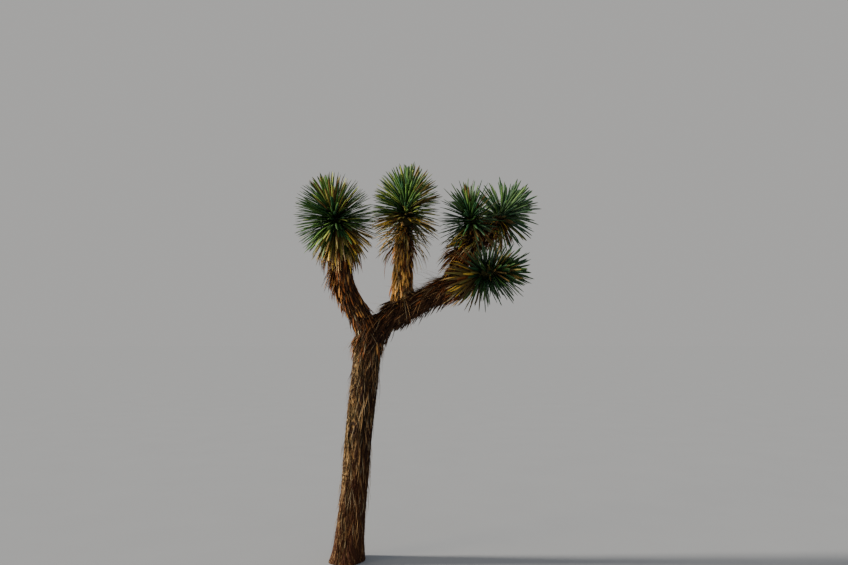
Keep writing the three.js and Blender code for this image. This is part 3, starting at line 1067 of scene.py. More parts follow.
def healed_scar(tree, given):
    """The rings round the scar's dimple, and how far it reaches."""
    position = read(tree, "GeometryNodeInputPosition")
    to_scar = operate("MULTIPLY", position - given["Scar"], SCAR_DRAWN_OUT)
    from_scar = operate("LENGTH", to_scar) / given["Scar Radius"]
    rings = operate("COSINE", from_scar * SCAR_RINGS) * -0.5 + 0.5
    return rings, ramp(from_scar, *SCAR_FADE)


def bark_relief_group():
    """Raises the bark: a net of ropes round long hollows on the old trunk, and rows of old leaf bases on the
    young boughs."""
    tree, geometry, given, end = geometry_group("bark relief", {
        "Ropes": ("Float", 13.0),
        "Rope Length": ("Float", 0.45),
        "Rope Height": ("Float", 0.016),
        "Base Width": ("Float", 0.024),
        "Base Length": ("Float", 0.052),
        "Base Height": ("Float", 0.009),
        "Lump Height": ("Float", 0.010),
        "Scar": ("Vector", SCAR),
        "Scar Radius": ("Float", 0.027),
    })
    straight = vector_attribute(tree, "straight")
    young = attribute(tree, "young")
    slow = operate("MULTIPLY", straight, DRAWN_OUT)
    rings, scarred = healed_scar(tree, given)
    old = mix(rope_net(straight, slow, given), rings, scarred)
    bases = leaf_bases(straight, given)
    height = mix(old * given["Rope Height"], bases * given["Base Height"], young)
    height = height - mix(given["Rope Height"], given["Base Height"], young) * 0.5
    height = height + waver(slow, *LUMP_NOISE, given["Lump Height"]) * young
    carrying = stored(geometry, {"relief": mix(old, bases, young), "scar": scarred})
    end(shifted(carrying, read(tree, "GeometryNodeInputNormal") * height))
    return tree


def cut_at_ground(mesh):
    """Cuts a mesh flat at the ground and closes it there."""
    form = bmesh.new()
    form.from_mesh(mesh)
    whole = form.verts[:] + form.edges[:] + form.faces[:]
    bmesh.ops.bisect_plane(form, geom=whole, plane_co=(0, 0, 0), plane_no=(0, 0, -1), clear_outer=True)
    bmesh.ops.holes_fill(form, edges=[edge for edge in form.edges if edge.is_boundary])
    form.to_mesh(mesh)
    form.free()


# Finishes


def strings_group():
    """The group of fine strings that run along whatever its vector follows, which puts out their mask, and
    a height for a bump. It is made once."""
    tree = bpy.data.node_groups.get("fine strings")
    if tree is not None:
        return tree
    tree = bpy.data.node_groups.new("fine strings", "ShaderNodeTree")
    tree.interface.new_socket("Vector", in_out="INPUT", socket_type="NodeSocketVector")
    for label, default in (("Width", 0.004), ("Length", 0.08), ("Waviness", 0.02)):
        socket = tree.interface.new_socket(label, in_out="INPUT", socket_type="NodeSocketFloat")
        socket.default_value = default
    for label in ("Mask", "Height"):
        tree.interface.new_socket(label, in_out="OUTPUT", socket_type="NodeSocketFloat")
    given = put(tree, "NodeGroupInput").outputs
    vector, width, length, waviness = (Formula(given[i]) for i in range(4))
    waved = vector + (noise(vector, *STRING_WAVES, output="Color") - (0.5, 0.5, 0.5)) * waviness
    stretched = operate("DIVIDE", waved, vector_of(width, width, length))
    coarse, fine = (noise(stretched, *pattern) for pattern in (COARSE_STRINGS, FINE_STRINGS))
    mask = ramp(coarse * COARSE_SHARE + fine * (1.0 - COARSE_SHARE), *STRINGS_TURN)
    put(tree, "NodeGroupOutput", {"Mask": mask, "Height": coarse * 0.5 + fine * 0.5})
    return tree


def strings_along(vector, width, length):
    """The mask and the height of fine strings along a vector, of this width and length."""
    inputs = {"Vector": vector, "Width": width, "Length": length}
    strings = put(vector.tree, "ShaderNodeGroup", inputs, node_tree=strings_group())
    return Formula(strings.outputs["Mask"]), Formula(strings.outputs["Height"])


def new_material(name):
    """A material with an empty tree but for its shader. Gives the material, its tree and its shader."""
    material = bpy.data.materials.new(name)
    material.use_nodes = True
    tree = material.node_tree
    tree.nodes.clear()
    shader = put(tree, "ShaderNodeBsdfPrincipled")
    put(tree, "ShaderNodeOutputMaterial", {0: shader.outputs[0]})
    return material, tree, shader


def shader_attribute(tree, name, output="Fac"):
    return Formula(put(tree, "ShaderNodeAttribute", attribute_name=name).outputs[output])


def blend(tree, factor, one, other):
    """A mix of two colours, each a colour or a formula."""
    return Formula(put(tree, "ShaderNodeMix", {0: factor, 6: one, 7: other}, data_type="RGBA").outputs[2])


def bump(height, strength, distance):
    inputs = {"Height": height, "Strength": strength, "Distance": distance}
    return put(height.tree, "ShaderNodeBump", inputs).outputs[0]


def bark_material(furrow, ridge, weathered_and_sunlit):
    """Fibrous bark: dark in its furrows, pale on its ridges, and bleached where the weather has it. Its
    sunlit side is paler with painted sunlight, and its foot darker with painted shade.
    """
    material, tree, shader = new_material("bark")
    straight = shader_attribute(tree, "straight", "Vector")
    strings, height = strings_along(straight, *BARK_STRINGS)
    patches = noise(straight, *PATCH_NOISE)
    facing_sun = dot(shader_attribute(tree, "outward", "Vector"), PAINTED_SUNLIGHT_SIDE)
    masks = {
        "relief": shader_attribute(tree, "relief"),
        "strings": strings,
        "patches": patches - 0.5,
        "worn": noise(straight, *WORN_NOISE),
        "sunny": ramp(facing_sun, *PAINTED_SUNLIGHT_ON_BARK),
        "scar": shader_attribute(tree, "scar"),
    }
    base = blend(tree, ramp(weighed(RIDGE_MASKS, masks), *RIDGE_TURN), furrow, ridge)
    base = blend(tree, ramp(patches, *MOSSY_TURN) * MOSS_SHARE, base, MOSS)
    # Pale where the weather has bleached it, and paler on the sunlit side with painted sunlight
    base = blend(tree, ramp(weighed(WEATHER_AND_SUNLIGHT_MASKS, masks), *WEATHER_AND_SUNLIGHT_TURN), base, weathered_and_sunlit)
    # Darker and redder towards the foot: painted shade
    above_ground = parts_of(read(tree, "ShaderNodeTexCoord", "Object"))[2]
    base = blend(tree, ramp(above_ground, *PAINTED_FOOT_SHADE_TURN), base, PAINTED_FOOT_SHADE)
    feed(shader, {
        "Base Color": blend(tree, shader_attribute(tree, "in_open"), HEART, base),
        "Roughness": BARK_ROUGHNESS - strings * SMOOTHER_STRINGS,
        "Normal": bump(height, *BARK_BUMP),
        "Specular IOR Level": BARK_GLOSS,
    })
    return material


def leaf_finish(name):
    """A leaf's or fibre's finish: its own colour, a little lighter or darker from one to the next, with fine
    strings, and painted shade that darkens it to black towards its root. It is made once."""
    if name in bpy.data.materials:
        return bpy.data.materials[name]
    code, roughness, gloss = LEAF_FINISHES[name]
    material, tree, shader = new_material(name)
    strings, height = strings_along(read(tree, "ShaderNodeTexCoord", "Object"), *LEAF_STRINGS)
    own = colour(code)[:3]
    darker, lighter = (tuple(min(1.0, c * times) for c in own) + (1.0,) for times in (DARKEST, LIGHTEST))
    # For dead leaves the luck also carries painted sunlight, which makes them lighter on the sunlit side
    shade = shader_attribute(tree, "luck") * LUCK_SHARE + strings * (1.0 - LUCK_SHARE)
    # Painted shade: black at the root, fading out along the leaf
    depth = ramp(shader_attribute(tree, "along"), *SHADED_ROOT)
    feed(shader, {
        "Base Color": blend(tree, depth, blend(tree, shade, darker, lighter), BLACK),
        "Roughness": roughness + strings * ROUGHER_STRINGS,
        "Normal": bump(height, *LEAF_BUMP),
        "Specular IOR Level": gloss,
    })
    return material


def floor_material():
    """A pale, matte studio floor."""
    material, tree, shader = new_material("studio_floor")
    place = read(tree, "ShaderNodeTexCoord", "Object")
    feed(shader, {
        "Base Color": blend(tree, noise(place, *FLOOR_NOISE), *FLOOR_SHADES),
        "Roughness": 1.0,
        "Specular IOR Level": 0.0,
    })
    return material


# Leaves


def blank_leaf(name, widths, section, twist=0.0):
    """A leaf to be copied: one metre long up +Z, one metre wide, and with its upper side to +Y. widths gives
    its width at shares of its length, and section its shape across, where it is one metre wide. Its points
    carry how far along it they are, and its faces which part they are."""
    points, along = [], []
    for share, width in widths:
        turn = twist * share
        for x, y in section:
            points.append((
                (x * math.cos(turn) - y * math.sin(turn)) * width,
                (x * math.sin(turn) + y * math.cos(turn)) * width,
                share,
            ))
            along.append(share)
    sides, rings = len(section), len(widths)
    points.append((0.0, 0.0, 1.0))
    along.append(1.0)
    faces, parts = [tuple(range(sides))], [ROOT]
    for ring in range(rings - 1):
        for side in range(sides):
            following = (side + 1) % sides
            low, high = ring * sides, (ring + 1) * sides
            faces.append((low + side, high + side, high + following, low + following))
            parts.append(ROOT if ring == 0 else BLADE)
    last = (rings - 1) * sides
    for side in range(sides):
        faces.append((last + side, rings * sides, last + (side + 1) % sides))
        parts.append(SPINE)
    mesh = bpy.data.meshes.new(name)
    mesh.from_pydata(points, [], faces)
    mesh.attributes.new("along", "FLOAT", "POINT").data.foreach_set("value", along)
    mesh.attributes.new("part", "INT", "FACE").data.foreach_set("value", parts)
    form = bmesh.new()
    form.from_mesh(mesh)
    bmesh.ops.recalc_face_normals(form, faces=form.faces[:])
    form.to_mesh(mesh)
    form.free()
    mesh.shade_smooth()
    return linked(name, mesh)


def random_value(index, seed, low, high):
    """A random value between low and high for each index."""
    inputs = {2: low, 3: high, "ID": index, "Seed": seed}
    return Formula(put(index.tree, "FunctionNodeRandomValue", inputs, data_type="FLOAT").outputs[1])


def planted(tree, points, leaf):
    """Stands a copy of the leaf on every point, by the point's direction, lift and size, bends each copy and
    makes them one mesh."""
    direction, lift, size = (vector_attribute(tree, name) for name in ("direction", "lift", "size"))
    turned = put(
        tree, "FunctionNodeAxesToRotation",
        {"Primary Axis": direction, "Secondary Axis": lift}, primary_axis="Z", secondary_axis="Y",
    )
    copied = put(tree, "GeometryNodeObjectInfo", {"Object": leaf}, transform_space="ORIGINAL")
    stood = put(tree, "GeometryNodeInstanceOnPoints", {
        "Points": points,
        "Instance": copied.outputs["Geometry"],
        "Rotation": turned.outputs[0],
        "Scale": size,
    })
    real = put(tree, "GeometryNodeRealizeInstances", {"Geometry": stood.outputs[0]}).outputs[0]
    along = attribute(tree, "along")
    length = parts_of(size)[2]
    bowed = lift * (along * (1.0 - along) * 4.0 * attribute(tree, "bow") * length)
    fall = vector_of(0.0, 0.0, attribute(tree, "sag") * along * along * length * -1.0)
    return shifted(real, bowed + fall)


def painted(tree, geometry, tints, ends):
    """Gives each leaf a finish by its tone and its luck, and then the parts of it that ends names theirs."""
    tone, luck, part = attribute(tree, "tone"), attribute(tree, "luck"), attribute(tree, "part", "INT")

    def within(value, low, high):
        return operate("GREATER_THAN", value, low) * operate("LESS_THAN", value, high)

    rules = [(finish, within(tone, *tones) * within(luck, *lucks)) for finish, tones, lucks in tints]
    rules += [(finish, operate("COMPARE", part, float(number), 0.1)) for number, finish in ends.items()]
    for finish, chosen in rules:
        inputs = {"Geometry": geometry, "Selection": chosen, "Material": leaf_finish(finish)}
        geometry = put(tree, "GeometryNodeSetMaterial", inputs).outputs[0]
    return geometry


def blocked(tree, stem, given):
    """Whether the leaf that would stand on a point runs into wood, or leaves its own head's space."""
    position = read(tree, "GeometryNodeInputPosition")
    direction = vector_attribute(tree, "direction")
    length = parts_of(vector_attribute(tree, "size"))[2]
    wood, rivals = (
        put(tree, "GeometryNodeObjectInfo", {"Object": given[name]}).outputs["Geometry"]
        for name in ("Wood", "Rivals")
    )
    own = put(tree, "GeometryNodeCurveToMesh", {0: stem}).outputs[0]
    hit = put(tree, "GeometryNodeRaycast", {
        "Target Geometry": wood,
        "Source Position": position + direction * (length * ROOTED_SHARE),
        "Ray Direction": direction,
        "Ray Length": length * (1.0 - ROOTED_SHARE),
    })
    faults = Formula(hit.outputs["Is Hit"])
    for share in MEASURED_SHARES:
        place = position + direction * (length * share)
        to_own, to_rivals = (
            Formula(put(
                tree, "GeometryNodeProximity", {0: target, "Sample Position": place}, target_element="POINTS",
            ).outputs["Distance"])
            for target in (own, rivals)
        )
        faults = faults + operate("LESS_THAN", to_rivals + RIVALS_ROOM, to_own)
    return operate("GREATER_THAN", faults, 0.5)


def rosette_group(name, tints, ends):
    """Leaves up a stem: leaf follows leaf by the golden angle, and their leans are spaced so that they
    spread evenly over a ball. A leaf that would run into wood, or that reaches nearer to another head's
    stem than to its own, isn't grown."""
    tree, geometry, given, end = geometry_group(name, {
        "Leaf": ("Object", None),
        "Wood": ("Object", None),
        "Rivals": ("Object", None),
        "Count": ("Int", 400),
        "Start": ("Float", 0.7),
        "End": ("Float", 1.0),
        "Lowest Lean": ("Float", math.radians(142)),
        "Highest Lean": ("Float", math.radians(5)),
        "Crowding": ("Float", 1.0),
        "Lean Jitter": ("Float", math.radians(6)),
        "Turn Jitter": ("Float", math.radians(12)),
        "Reach": ("Float", 0.3),
        "Reach Jitter": ("Float", 0.07),
        "Width": ("Float", 0.013),
        "Bow": ("Float", 0.02),
        "Bow Jitter": ("Float", 0.03),
        "Sag": ("Float", 0.02),
        "Root Depth": ("Float", 0.012),
        "Tone Jitter": ("Float", 0.12),
        "Age": ("Float", 0.0),
        "Ripe Side": ("Vector", (0.0, 0.0, 0.0)),
        "Warmth": ("Float", 0.0),
        "Dying Side": ("Vector", (0.0, 0.0, -1.0)),
        "Dying Share": ("Float", 0.0),
        "Seed": ("Int", 1),
    })
    stem = put(tree, "GeometryNodeMeshToCurve", {0: geometry}).outputs[0]
    index = read(tree, "GeometryNodeInputIndex")
    rank = (index + 0.5) / given["Count"]
    place = put(tree, "GeometryNodeSampleCurve", {
        "Curves": stem,
        "Value": attribute(tree, "radius"),
        "Factor": mix(given["Start"], given["End"], rank),
    }, mode="FACTOR", use_all_curves=True)
    radius, middle, tangent = (Formula(place.outputs[key]) for key in ("Value", "Position", "Tangent"))

    def jitter(number):
        return random_value(index, given["Seed"] + number * SEED_STEP, -1.0, 1.0)

    # Where each leaf points
    across = unit(operate("CROSS_PRODUCT", FRONT_TO_BACK, tangent))
    back = operate("CROSS_PRODUCT", tangent, across)
    turn = index * GOLDEN_ANGLE + jitter(1) * given["Turn Jitter"]
    lowest, highest = (operate("COSINE", given[key]) for key in ("Lowest Lean", "Highest Lean"))
    lean = operate("ARCCOSINE", mix(lowest, highest, rank ** given["Crowding"]))
    lean = lean + jitter(2) * given["Lean Jitter"]
    outward = across * operate("COSINE", turn) + back * operate("SINE", turn)
    direction = tangent * operate("COSINE", lean) + outward * operate("SINE", lean)
    lift = unit(tangent - direction * dot(tangent, direction))

    # Where it starts in the stem, straight below it or, where it folds back, at the side, and its size
    depth = operate("MAXIMUM", radius - given["Root Depth"], 0.0)
    folded = operate("LESS_THAN", dot(direction, tangent), 0.0)
    root_way = direction + (outward - direction) * folded
    reach = given["Reach"] * (1.0 + jitter(3) * given["Reach Jitter"])
    length = reach - depth * dot(root_way, direction)
    width = given["Width"] * (1.0 + jitter(4) * WIDTH_JITTER)

    # How old it looks
    tone = 1.0 - rank + given["Age"] + jitter(5) * given["Tone Jitter"]
    tone = tone + dot(direction, given["Ripe Side"])
    dying = ramp(dot(direction, unit(given["Dying Side"])), *DYING_TURN)
    dying = operate("GREATER_THAN", dying * given["Dying Share"], jitter(9) * 0.5 + 0.5)
    tone = mix(tone, DYING_TONE + jitter(10) * DYING_TONE_SPREAD, dying)

    start = middle + root_way * depth
    points = put(tree, "GeometryNodePoints", {"Count": given["Count"], "Position": start}).outputs[0]
    points = stored(points, {
        "direction": direction,
        "lift": lift,
        "size": vector_of(width, width, length),
        "bow": given["Bow"] + jitter(6) * given["Bow Jitter"],
        "sag": given["Sag"] * (1.0 + jitter(7)),
        "tone": tone,
        "luck": jitter(8) * 0.5 + 0.5 + given["Warmth"],
    })
    points = without(points, blocked(tree, stem, given))
    end(painted(tree, planted(tree, points, given["Leaf"]), tints, ends))
    return tree


def thatch_group(name, tints, ends):
    """Dead leaves or loose fibres on bark. They fold back down the limb, hang by their own weight, and lie
    on the bark or stand a little off it."""
    tree, geometry, given, end = geometry_group(name, {
        "Leaf": ("Object", None),
        "Density": ("Float", 1000.0),
        "Shortest": ("Float", 0.06),
        "Longest": ("Float", 0.16),
        "Width": ("Float", 0.012),
        "Fold": ("Float", 1.0),
        "Weight": ("Float", 0.5),
        "Spread": ("Float", 0.25),
        "Lift": ("Float", 0.12),
        "Bow": ("Float", 0.03),
        "Sag": ("Float", 0.05),
        "Shag": ("Float", 1.0),
        "Tuft": ("Vector", (0.0, 0.0, -9.0)),
        "Tuft Reach": ("Float", 0.1),
        "Underside": ("Float", 0.0),
        "Warmth": ("Float", 0.0),
        "Sunny Warmth": ("Float", 0.2),
        "Seed": ("Int", 1),
    })

    # Where they lie
    place = read(tree, "GeometryNodeInputPosition")
    facing_up = parts_of(read(tree, "GeometryNodeInputNormal"))[2]
    tuft = ramp(operate("DISTANCE", place, given["Tuft"]) / given["Tuft Reach"], *TUFT_TURN)
    below = ramp(facing_up, *UNDERSIDE_TURN)
    density = given["Density"] * attribute(tree, "wanted") * mix(1.0, below, given["Underside"])
    density = density * (ramp(noise(place, *DENSE_NOISE), *DENSE_TURN) + tuft)
    points = put(
        tree, "GeometryNodeDistributePointsOnFaces",
        {"Mesh": geometry, "Density": density, "Seed": given["Seed"]}, distribute_method="RANDOM",
    ).outputs["Points"]
    index = read(tree, "GeometryNodeInputIndex")

    def chance(number, low, high):
        return random_value(index, given["Seed"] + number * THATCH_SEED_STEP, low, high)

    # Where each one points: down the limb and towards the ground, but not into the bark
    along, normal = vector_attribute(tree, "limb_way"), vector_attribute(tree, "outward")
    hanging = vector_of(0.0, 0.0, given["Weight"] * chance(1, *HANGS))
    aside = operate("CROSS_PRODUCT", along, normal) * (chance(2, -1.0, 1.0) * given["Spread"])
    pull = hanging + aside - along * given["Fold"]
    into = operate("MINIMUM", dot(pull, normal), 0.0)
    shag = (ramp(noise(place, *SHAG_NOISE), *SHAG_TURN) + tuft * TUFT_SHAG) * given["Shag"]
    raised = given["Lift"] * chance(3, *LIFTS) * (1.0 + shag * SHAG_LIFT)
    direction = unit(unit(pull - normal * into) + normal * raised)
    lift = unit(normal - direction * dot(normal, direction))

    # Its size, and how warm its colour is, with painted sunlight that makes it warmer and lighter on the
    # sunlit side
    length = mix(given["Shortest"], given["Longest"], chance(4, 0.0, 1.0)) * (1.0 + shag * SHAG_LENGTH)
    width = given["Width"] * chance(5, *WIDTHS)
    sunny = ramp(dot(normal, PAINTED_SUNLIGHT_SIDE), *PAINTED_SUNLIGHT_ON_LEAVES)
    tip_height = parts_of(place + direction * length)[2]
    points = without(points, operate("LESS_THAN", tip_height, GROUND_ROOM))
    points = stored(points, {
        "direction": direction,
        "lift": lift,
        "size": vector_of(width, width, length),
        "bow": given["Bow"] * chance(6, *BOWS),
        "sag": given["Sag"] * chance(7, *SAGS),
        "tone": chance(8, 0.0, 1.0),
        "luck": chance(9, 0.0, 1.0) + given["Warmth"] + sunny * given["Sunny Warmth"],
    })
    sunk = shifted(points, direction * -ROOTS_DEPTH)
    end(painted(tree, planted(tree, sunk, given["Leaf"]), tints, ends))
    return tree


def rival_stems(name):
    """The stems of all the heads but one, as one object."""
    rivals = [head_name for head_name in HEADS if head_name != name]
    stems = [stem_mesh(rival, HEADS[rival]["limb"], HEADS[rival]["start"]) for rival in rivals]
    return joined_copy("rivals_helper", [linked("stem_helper", mesh) for mesh in stems])


def no_rivals():
    """A single point far above the tree, in place of rivals."""
    far = linked("rivals_helper", bpy.data.meshes.new("rivals_helper"))
    far.data.from_pydata([FAR_POINT], [], [])
    return far


def covered(bark, carried):
    """A copy of a bark's mesh on which as much is wanted as it carries under this name."""
    mesh = bpy.data.objects[bark].data.copy()
    mesh.attributes[carried].name = "wanted"
    mesh.materials.clear()
    return mesh


# The add-on


class BarkSettings(bpy.types.PropertyGroup):
    """Sizes and colours of the bark"""

    ropes: IntProperty(name="Ropes", description="Ropes of old bark that run up round the trunk", default=13)
    rope_length: FloatProperty(
        name="Rope Length", description="Run over which a rope sways to and fro", default=0.45, unit="LENGTH")
    rope_height: FloatProperty(
        name="Rope Height", description="Height of a rope above the hollows", default=0.016, unit="LENGTH")
    furrow: FloatVectorProperty(
        name="Furrows", description="Colour deep in the bark", subtype="COLOR", size=4,
        default=colour("1f0d08"))
    ridge: FloatVectorProperty(
        name="Ridges", description="Colour of the bark's ridges", subtype="COLOR", size=4,
        default=colour("6e4a2d"))
    # This colour also stands for the painted sunlight on the bark's sunlit side
    weathered_and_sunlit: FloatVectorProperty(
        name="Weathered And Sunlit", description="Colour of bark that the weather has bleached", subtype="COLOR", size=4,
        default=colour("d2b480"))


class HeadSettings(bpy.types.PropertyGroup):
    """Sizes of the heads of green leaves"""

    fullness: FloatProperty(
        name="Fullness", description="Share of their leaves that the heads grow", default=1.0)
    width: FloatProperty(
        name="Leaf Width", description="Width of a leaf's blade", default=0.0172, unit="LENGTH")
    reach: FloatProperty(
        name="Reach", description="Reach of the leaves, as a share of their mass's", default=1.04)
    highest_lean: FloatProperty(
        name="Highest Lean", description="Lean of the highest leaf from its stem", default=math.radians(4),
        subtype="ANGLE")


class DrySettings(bpy.types.PropertyGroup):
    """Sizes and numbers of the dry leaves and the fibres"""

    width: FloatProperty(
        name="Leaf Width", description="Width of a dry leaf", default=0.0115, unit="LENGTH")
    density: FloatProperty(
        name="Dead Leaves", description="Dead leaves on each square metre of bark that they cover",
        default=2600.0)
    fringe_density: FloatProperty(
        name="Fringe", description="Fringe fibres on each square metre of a bough's underside",
        default=1300.0)
    fibre_density: FloatProperty(
        name="Fibres", description="Loose fibres on each square metre of bark", default=600.0)


class StageSettings(bpy.types.PropertyGroup):
    """The lights and the camera"""

    eye: FloatVectorProperty(
        name="Eye", description="Where the camera stands", subtype="TRANSLATION", unit="LENGTH",
        default=(0.5958, -5.2757, 1.68))
    tilt: FloatProperty(
        name="Tilt", description="How far the camera looks up", default=math.radians(5.1548), subtype="ANGLE")
    lens: FloatProperty(name="Lens", description="Focal length in millimetres", default=28.0)
    sun: FloatProperty(name="Sun", description="Strength of the warm light from the left", default=6.4)
    glow: FloatProperty(name="Glow", description="Strength of the golden light from the ground", default=1.5)


class JOSHUA_OT_bark(bpy.types.Operator):
    """Grow the bark of the trunk and the boughs"""

    bl_idname = "joshua.bark"
    bl_label = "Bark"

    def execute(self, context):
        settings = context.scene.joshua_bark
        relief = bark_relief_group()
        shades = (settings.furrow, settings.ridge, settings.weathered_and_sunlit)
        finish = bark_material(*(tuple(shade) for shade in shades))
        values = {
            "Ropes": float(settings.ropes),
            "Rope Length": settings.rope_length,
            "Rope Height": settings.rope_height,
        }
        made = []
        for skin in SKINS:
            for name, nodes, mesh in bark_blanks(skin):
                piece = linked(name, mesh)
                run_nodes(piece, relief, values)
                if name == "trunk_bark":
                    cut_at_ground(piece.data)
                piece.data.materials.append(finish)
                made.append(finished(piece, "bark", nodes))
        joined_copy("wood_helper", made)
        return {"FINISHED"}


class JOSHUA_OT_heads(bpy.types.Operator):
    """Grow the heads of green leaves"""

    bl_idname = "joshua.heads"
    bl_label = "Heads"

    def execute(self, context):
        settings = context.scene.joshua_heads
        tree = rosette_group("green rosette", HEAD_TINTS, {ROOT: "leaf_root", SPINE: "leaf_spine"})
        dagger = blank_leaf("dagger_blank", DAGGER_WIDTHS, CHANNEL)
        for number, (name, head) in enumerate(HEADS.items()):
            values = {
                "Leaf": dagger,
                "Wood": wood_helper(),
                "Rivals": rival_stems(name),
                "Count": round(head["count"] * settings.fullness),
                "Start": head["start"] + HEAD_MARGIN,
                "Lowest Lean": math.radians(head["fold"]),
                "Highest Lean": settings.highest_lean,
                "Crowding": head["crowding"],
                "Reach": head["reach"] * settings.reach,
                "Reach Jitter": head["ragged"],
                "Width": settings.width,
                "Ripe Side": head["ripe_side"],
                "Warmth": head["warmth"],
                "Dying Side": head["dying_side"],
                "Dying Share": head["dying_share"],
                "Seed": HEAD_SEED + number,
            }
            young_values = {
                **values,
                **YOUNG_GROWTH,
                "Count": round(YOUNG_LEAVES * settings.fullness),
                "Reach": head["reach"] * YOUNG_REACH,
                "Seed": YOUNG_SEED + number,
            }
            stem = head["limb"]
            grown(name + "_leaves", stem_mesh(name, stem), tree, values, "green_leaf", (name,))
            grown(name + "_young_leaves", stem_mesh(name, stem), tree, young_values, "green_leaf")
            remove_helpers("rivals_helper", "stem_helper")
        remove_helpers("dagger_blank")
        return {"FINISHED"}


class JOSHUA_OT_skirts(bpy.types.Operator):
    """Grow the skirts of dry leaves below the heads"""

    bl_idname = "joshua.skirts"
    bl_label = "Skirts"

    def execute(self, context):
        settings = context.scene.joshua_dry
        tree = rosette_group("dry rosette", SKIRT_TINTS, {ROOT: "leaf_brown", SPINE: "leaf_brown"})
        shared = {
            "Leaf": blank_leaf("dry_blank", DRY_WIDTHS, CHANNEL, SKIRT_TWIST),
            "Wood": wood_helper(),
            "Rivals": no_rivals(),
        }
        for number, (name, skirt) in enumerate(SKIRTS.items()):
            low, high = skirt["span"]
            lowest, highest = skirt["leans"]
            shared.update({"Start": low + SKIRT_MARGIN, "End": high})
            values = {
                **shared,
                **SKIRT_GROWTH,
                "Count": skirt["count"],
                "Lowest Lean": math.radians(lowest),
                "Highest Lean": math.radians(highest),
                "Reach": skirt["reach"] * SKIRT_REACH,
                "Width": settings.width,
                "Age": skirt["age"],
                "Seed": SKIRT_SEED + number,
            }
            stray_values = {
                **shared,
                **STRAY_GROWTH,
                "Count": skirt["count"] // LEAVES_PER_STRAY,
                "Reach": skirt["reach"] * STRAY_REACH,
                "Width": settings.width * STRAY_WIDTH,
                "Seed": STRAY_SEED + number,
            }
            stem = skirt["limb"]
            grown(name + "_leaves", stem_mesh(name, stem), tree, values, "dry_leaf", (name,))
            grown(name + "_strays", stem_mesh(name, stem), tree, stray_values, "dry_leaf")
        remove_helpers("dry_blank", "rivals_helper")
        return {"FINISHED"}


class JOSHUA_OT_thatch(bpy.types.Operator):
    """Lay the dead leaves that still hang on the boughs, and the loose fibres of the bark"""

    bl_idname = "joshua.thatch"
    bl_label = "Dead Leaves and Fibres"

    def execute(self, context):
        settings = context.scene.joshua_dry
        brown_ends = {ROOT: "leaf_brown", SPINE: "leaf_brown"}
        kinds = {
            "leaves": dict(
                tree=thatch_group("dead leaves", DEAD_LEAF_TINTS, brown_ends), slot="dry_leaf",
                leaf=blank_leaf("dry_blank", DRY_WIDTHS, CHANNEL, THATCH_TWIST),
            ),
            "fibres": dict(
                tree=thatch_group("loose fibres", FIBRE_TINTS, {}), slot="bark",
                leaf=blank_leaf("strip_blank", STRIP_WIDTHS, STRIP_SECTION, STRIP_TWIST),
            ),
        }
        barks = [name for skin in SKINS for name, _, _ in skin["pieces"]]
        for number, bark in enumerate(barks):
            limb = bark.removesuffix("_bark")
            warmth = dict(zip(("Warmth", "Sunny Warmth"), DEAD_WARMTH[limb]))
            for layer in LAYERS:
                if limb == "trunk" and layer["name"] == "fringe":
                    continue
                kind = kinds[layer["kind"]]
                values = {
                    "Leaf": kind["leaf"],
                    "Density": getattr(settings, layer["density"]) * layer["share"],
                    "Width": settings.width,
                    "Seed": layer["seed"] + number,
                    **layer["growth"],
                    **(warmth if layer["kind"] == "leaves" else {}),
                }
                mesh = covered(bark, layer["over"])
                grown(f"{limb}_{layer['name']}", mesh, kind["tree"], values, kind["slot"])
        remove_helpers("dry_blank", "strip_blank", "wood_helper")
        return {"FINISHED"}


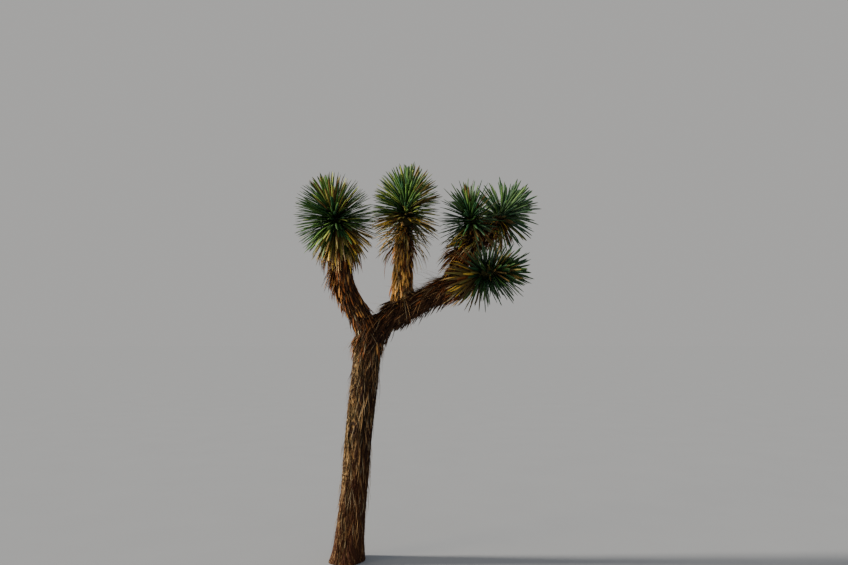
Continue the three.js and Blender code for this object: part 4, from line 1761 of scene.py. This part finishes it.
class JOSHUA_OT_stage(bpy.types.Operator):
    """Set up the floor, the lights and the camera"""

    bl_idname = "joshua.stage"
    bl_label = "Stage"

    def execute(self, context):
        settings = context.scene.joshua_stage
        scene = context.scene
        floor_mesh = bpy.data.meshes.new("floor")
        form = bmesh.new()
        bmesh.ops.create_circle(form, cap_ends=True, segments=FLOOR_SIDES, radius=FLOOR_RADIUS)
        bmesh.ops.translate(form, verts=form.verts[:], vec=FLOOR_MIDDLE)
        form.to_mesh(floor_mesh)
        form.free()
        floor_mesh.materials.append(floor_material())
        linked("floor", floor_mesh)

        world = bpy.data.worlds.new("studio")
        world.use_nodes = True
        feed(world.node_tree.nodes["Background"], {"Color": AIR, "Strength": AIR_STRENGTH})
        scene.world = world

        for name, spec in LIGHTS.items():
            about_x, about_z = spec["turned"]
            light = bpy.data.lights.new(name, "SUN")
            light.energy = getattr(settings, spec["setting"])
            light.angle = math.radians(spec["width"])
            light.color = spec["tint"]
            lamp = linked(name, light)
            lamp.rotation_euler = (math.radians(about_x), 0.0, math.radians(about_z))

        camera = bpy.data.cameras.new("camera")
        camera.lens = settings.lens
        camera.sensor_width = SENSOR_WIDTH
        camera.clip_end = SIGHT
        eye = linked("camera", camera)
        eye.location = settings.eye
        eye.rotation_euler = (math.radians(90) + settings.tilt, 0.0, 0.0)
        scene.camera = eye
        return {"FINISHED"}


# The settings and operators in each box of the panel
PANEL_ROWS = (
    ("joshua_bark", ("joshua.bark",)),
    ("joshua_heads", ("joshua.heads",)),
    ("joshua_dry", ("joshua.skirts", "joshua.thatch")),
    ("joshua_stage", ("joshua.stage",)),
)


class JOSHUA_PT_panel(bpy.types.Panel):
    """The tree's parts and their sizes"""

    bl_idname = "JOSHUA_PT_panel"
    bl_label = "Joshua Tree"
    bl_space_type = "VIEW_3D"
    bl_region_type = "UI"
    bl_category = "Joshua Tree"

    def draw(self, context):
        for settings, operators in PANEL_ROWS:
            box = self.layout.box()
            group = getattr(context.scene, settings)
            for name in group.__annotations__:
                box.prop(group, name)
            for operator in operators:
                box.operator(operator)


SETTINGS = {
    "joshua_bark": BarkSettings,
    "joshua_heads": HeadSettings,
    "joshua_dry": DrySettings,
    "joshua_stage": StageSettings,
}
OPERATORS = (JOSHUA_OT_bark, JOSHUA_OT_heads, JOSHUA_OT_skirts, JOSHUA_OT_thatch, JOSHUA_OT_stage)


def register():
    for cls in (*SETTINGS.values(), *OPERATORS, JOSHUA_PT_panel):
        bpy.utils.register_class(cls)
    for name, cls in SETTINGS.items():
        setattr(bpy.types.Scene, name, PointerProperty(type=cls))


def unregister():
    for name in SETTINGS:
        delattr(bpy.types.Scene, name)
    for cls in (JOSHUA_PT_panel, *reversed(OPERATORS), *reversed(tuple(SETTINGS.values()))):
        bpy.utils.unregister_class(cls)


def main():
    register()
    for operator in ("bark", "heads", "skirts", "thatch", "stage"):
        getattr(bpy.ops.joshua, operator)()


if __name__ == "__main__":
    main()
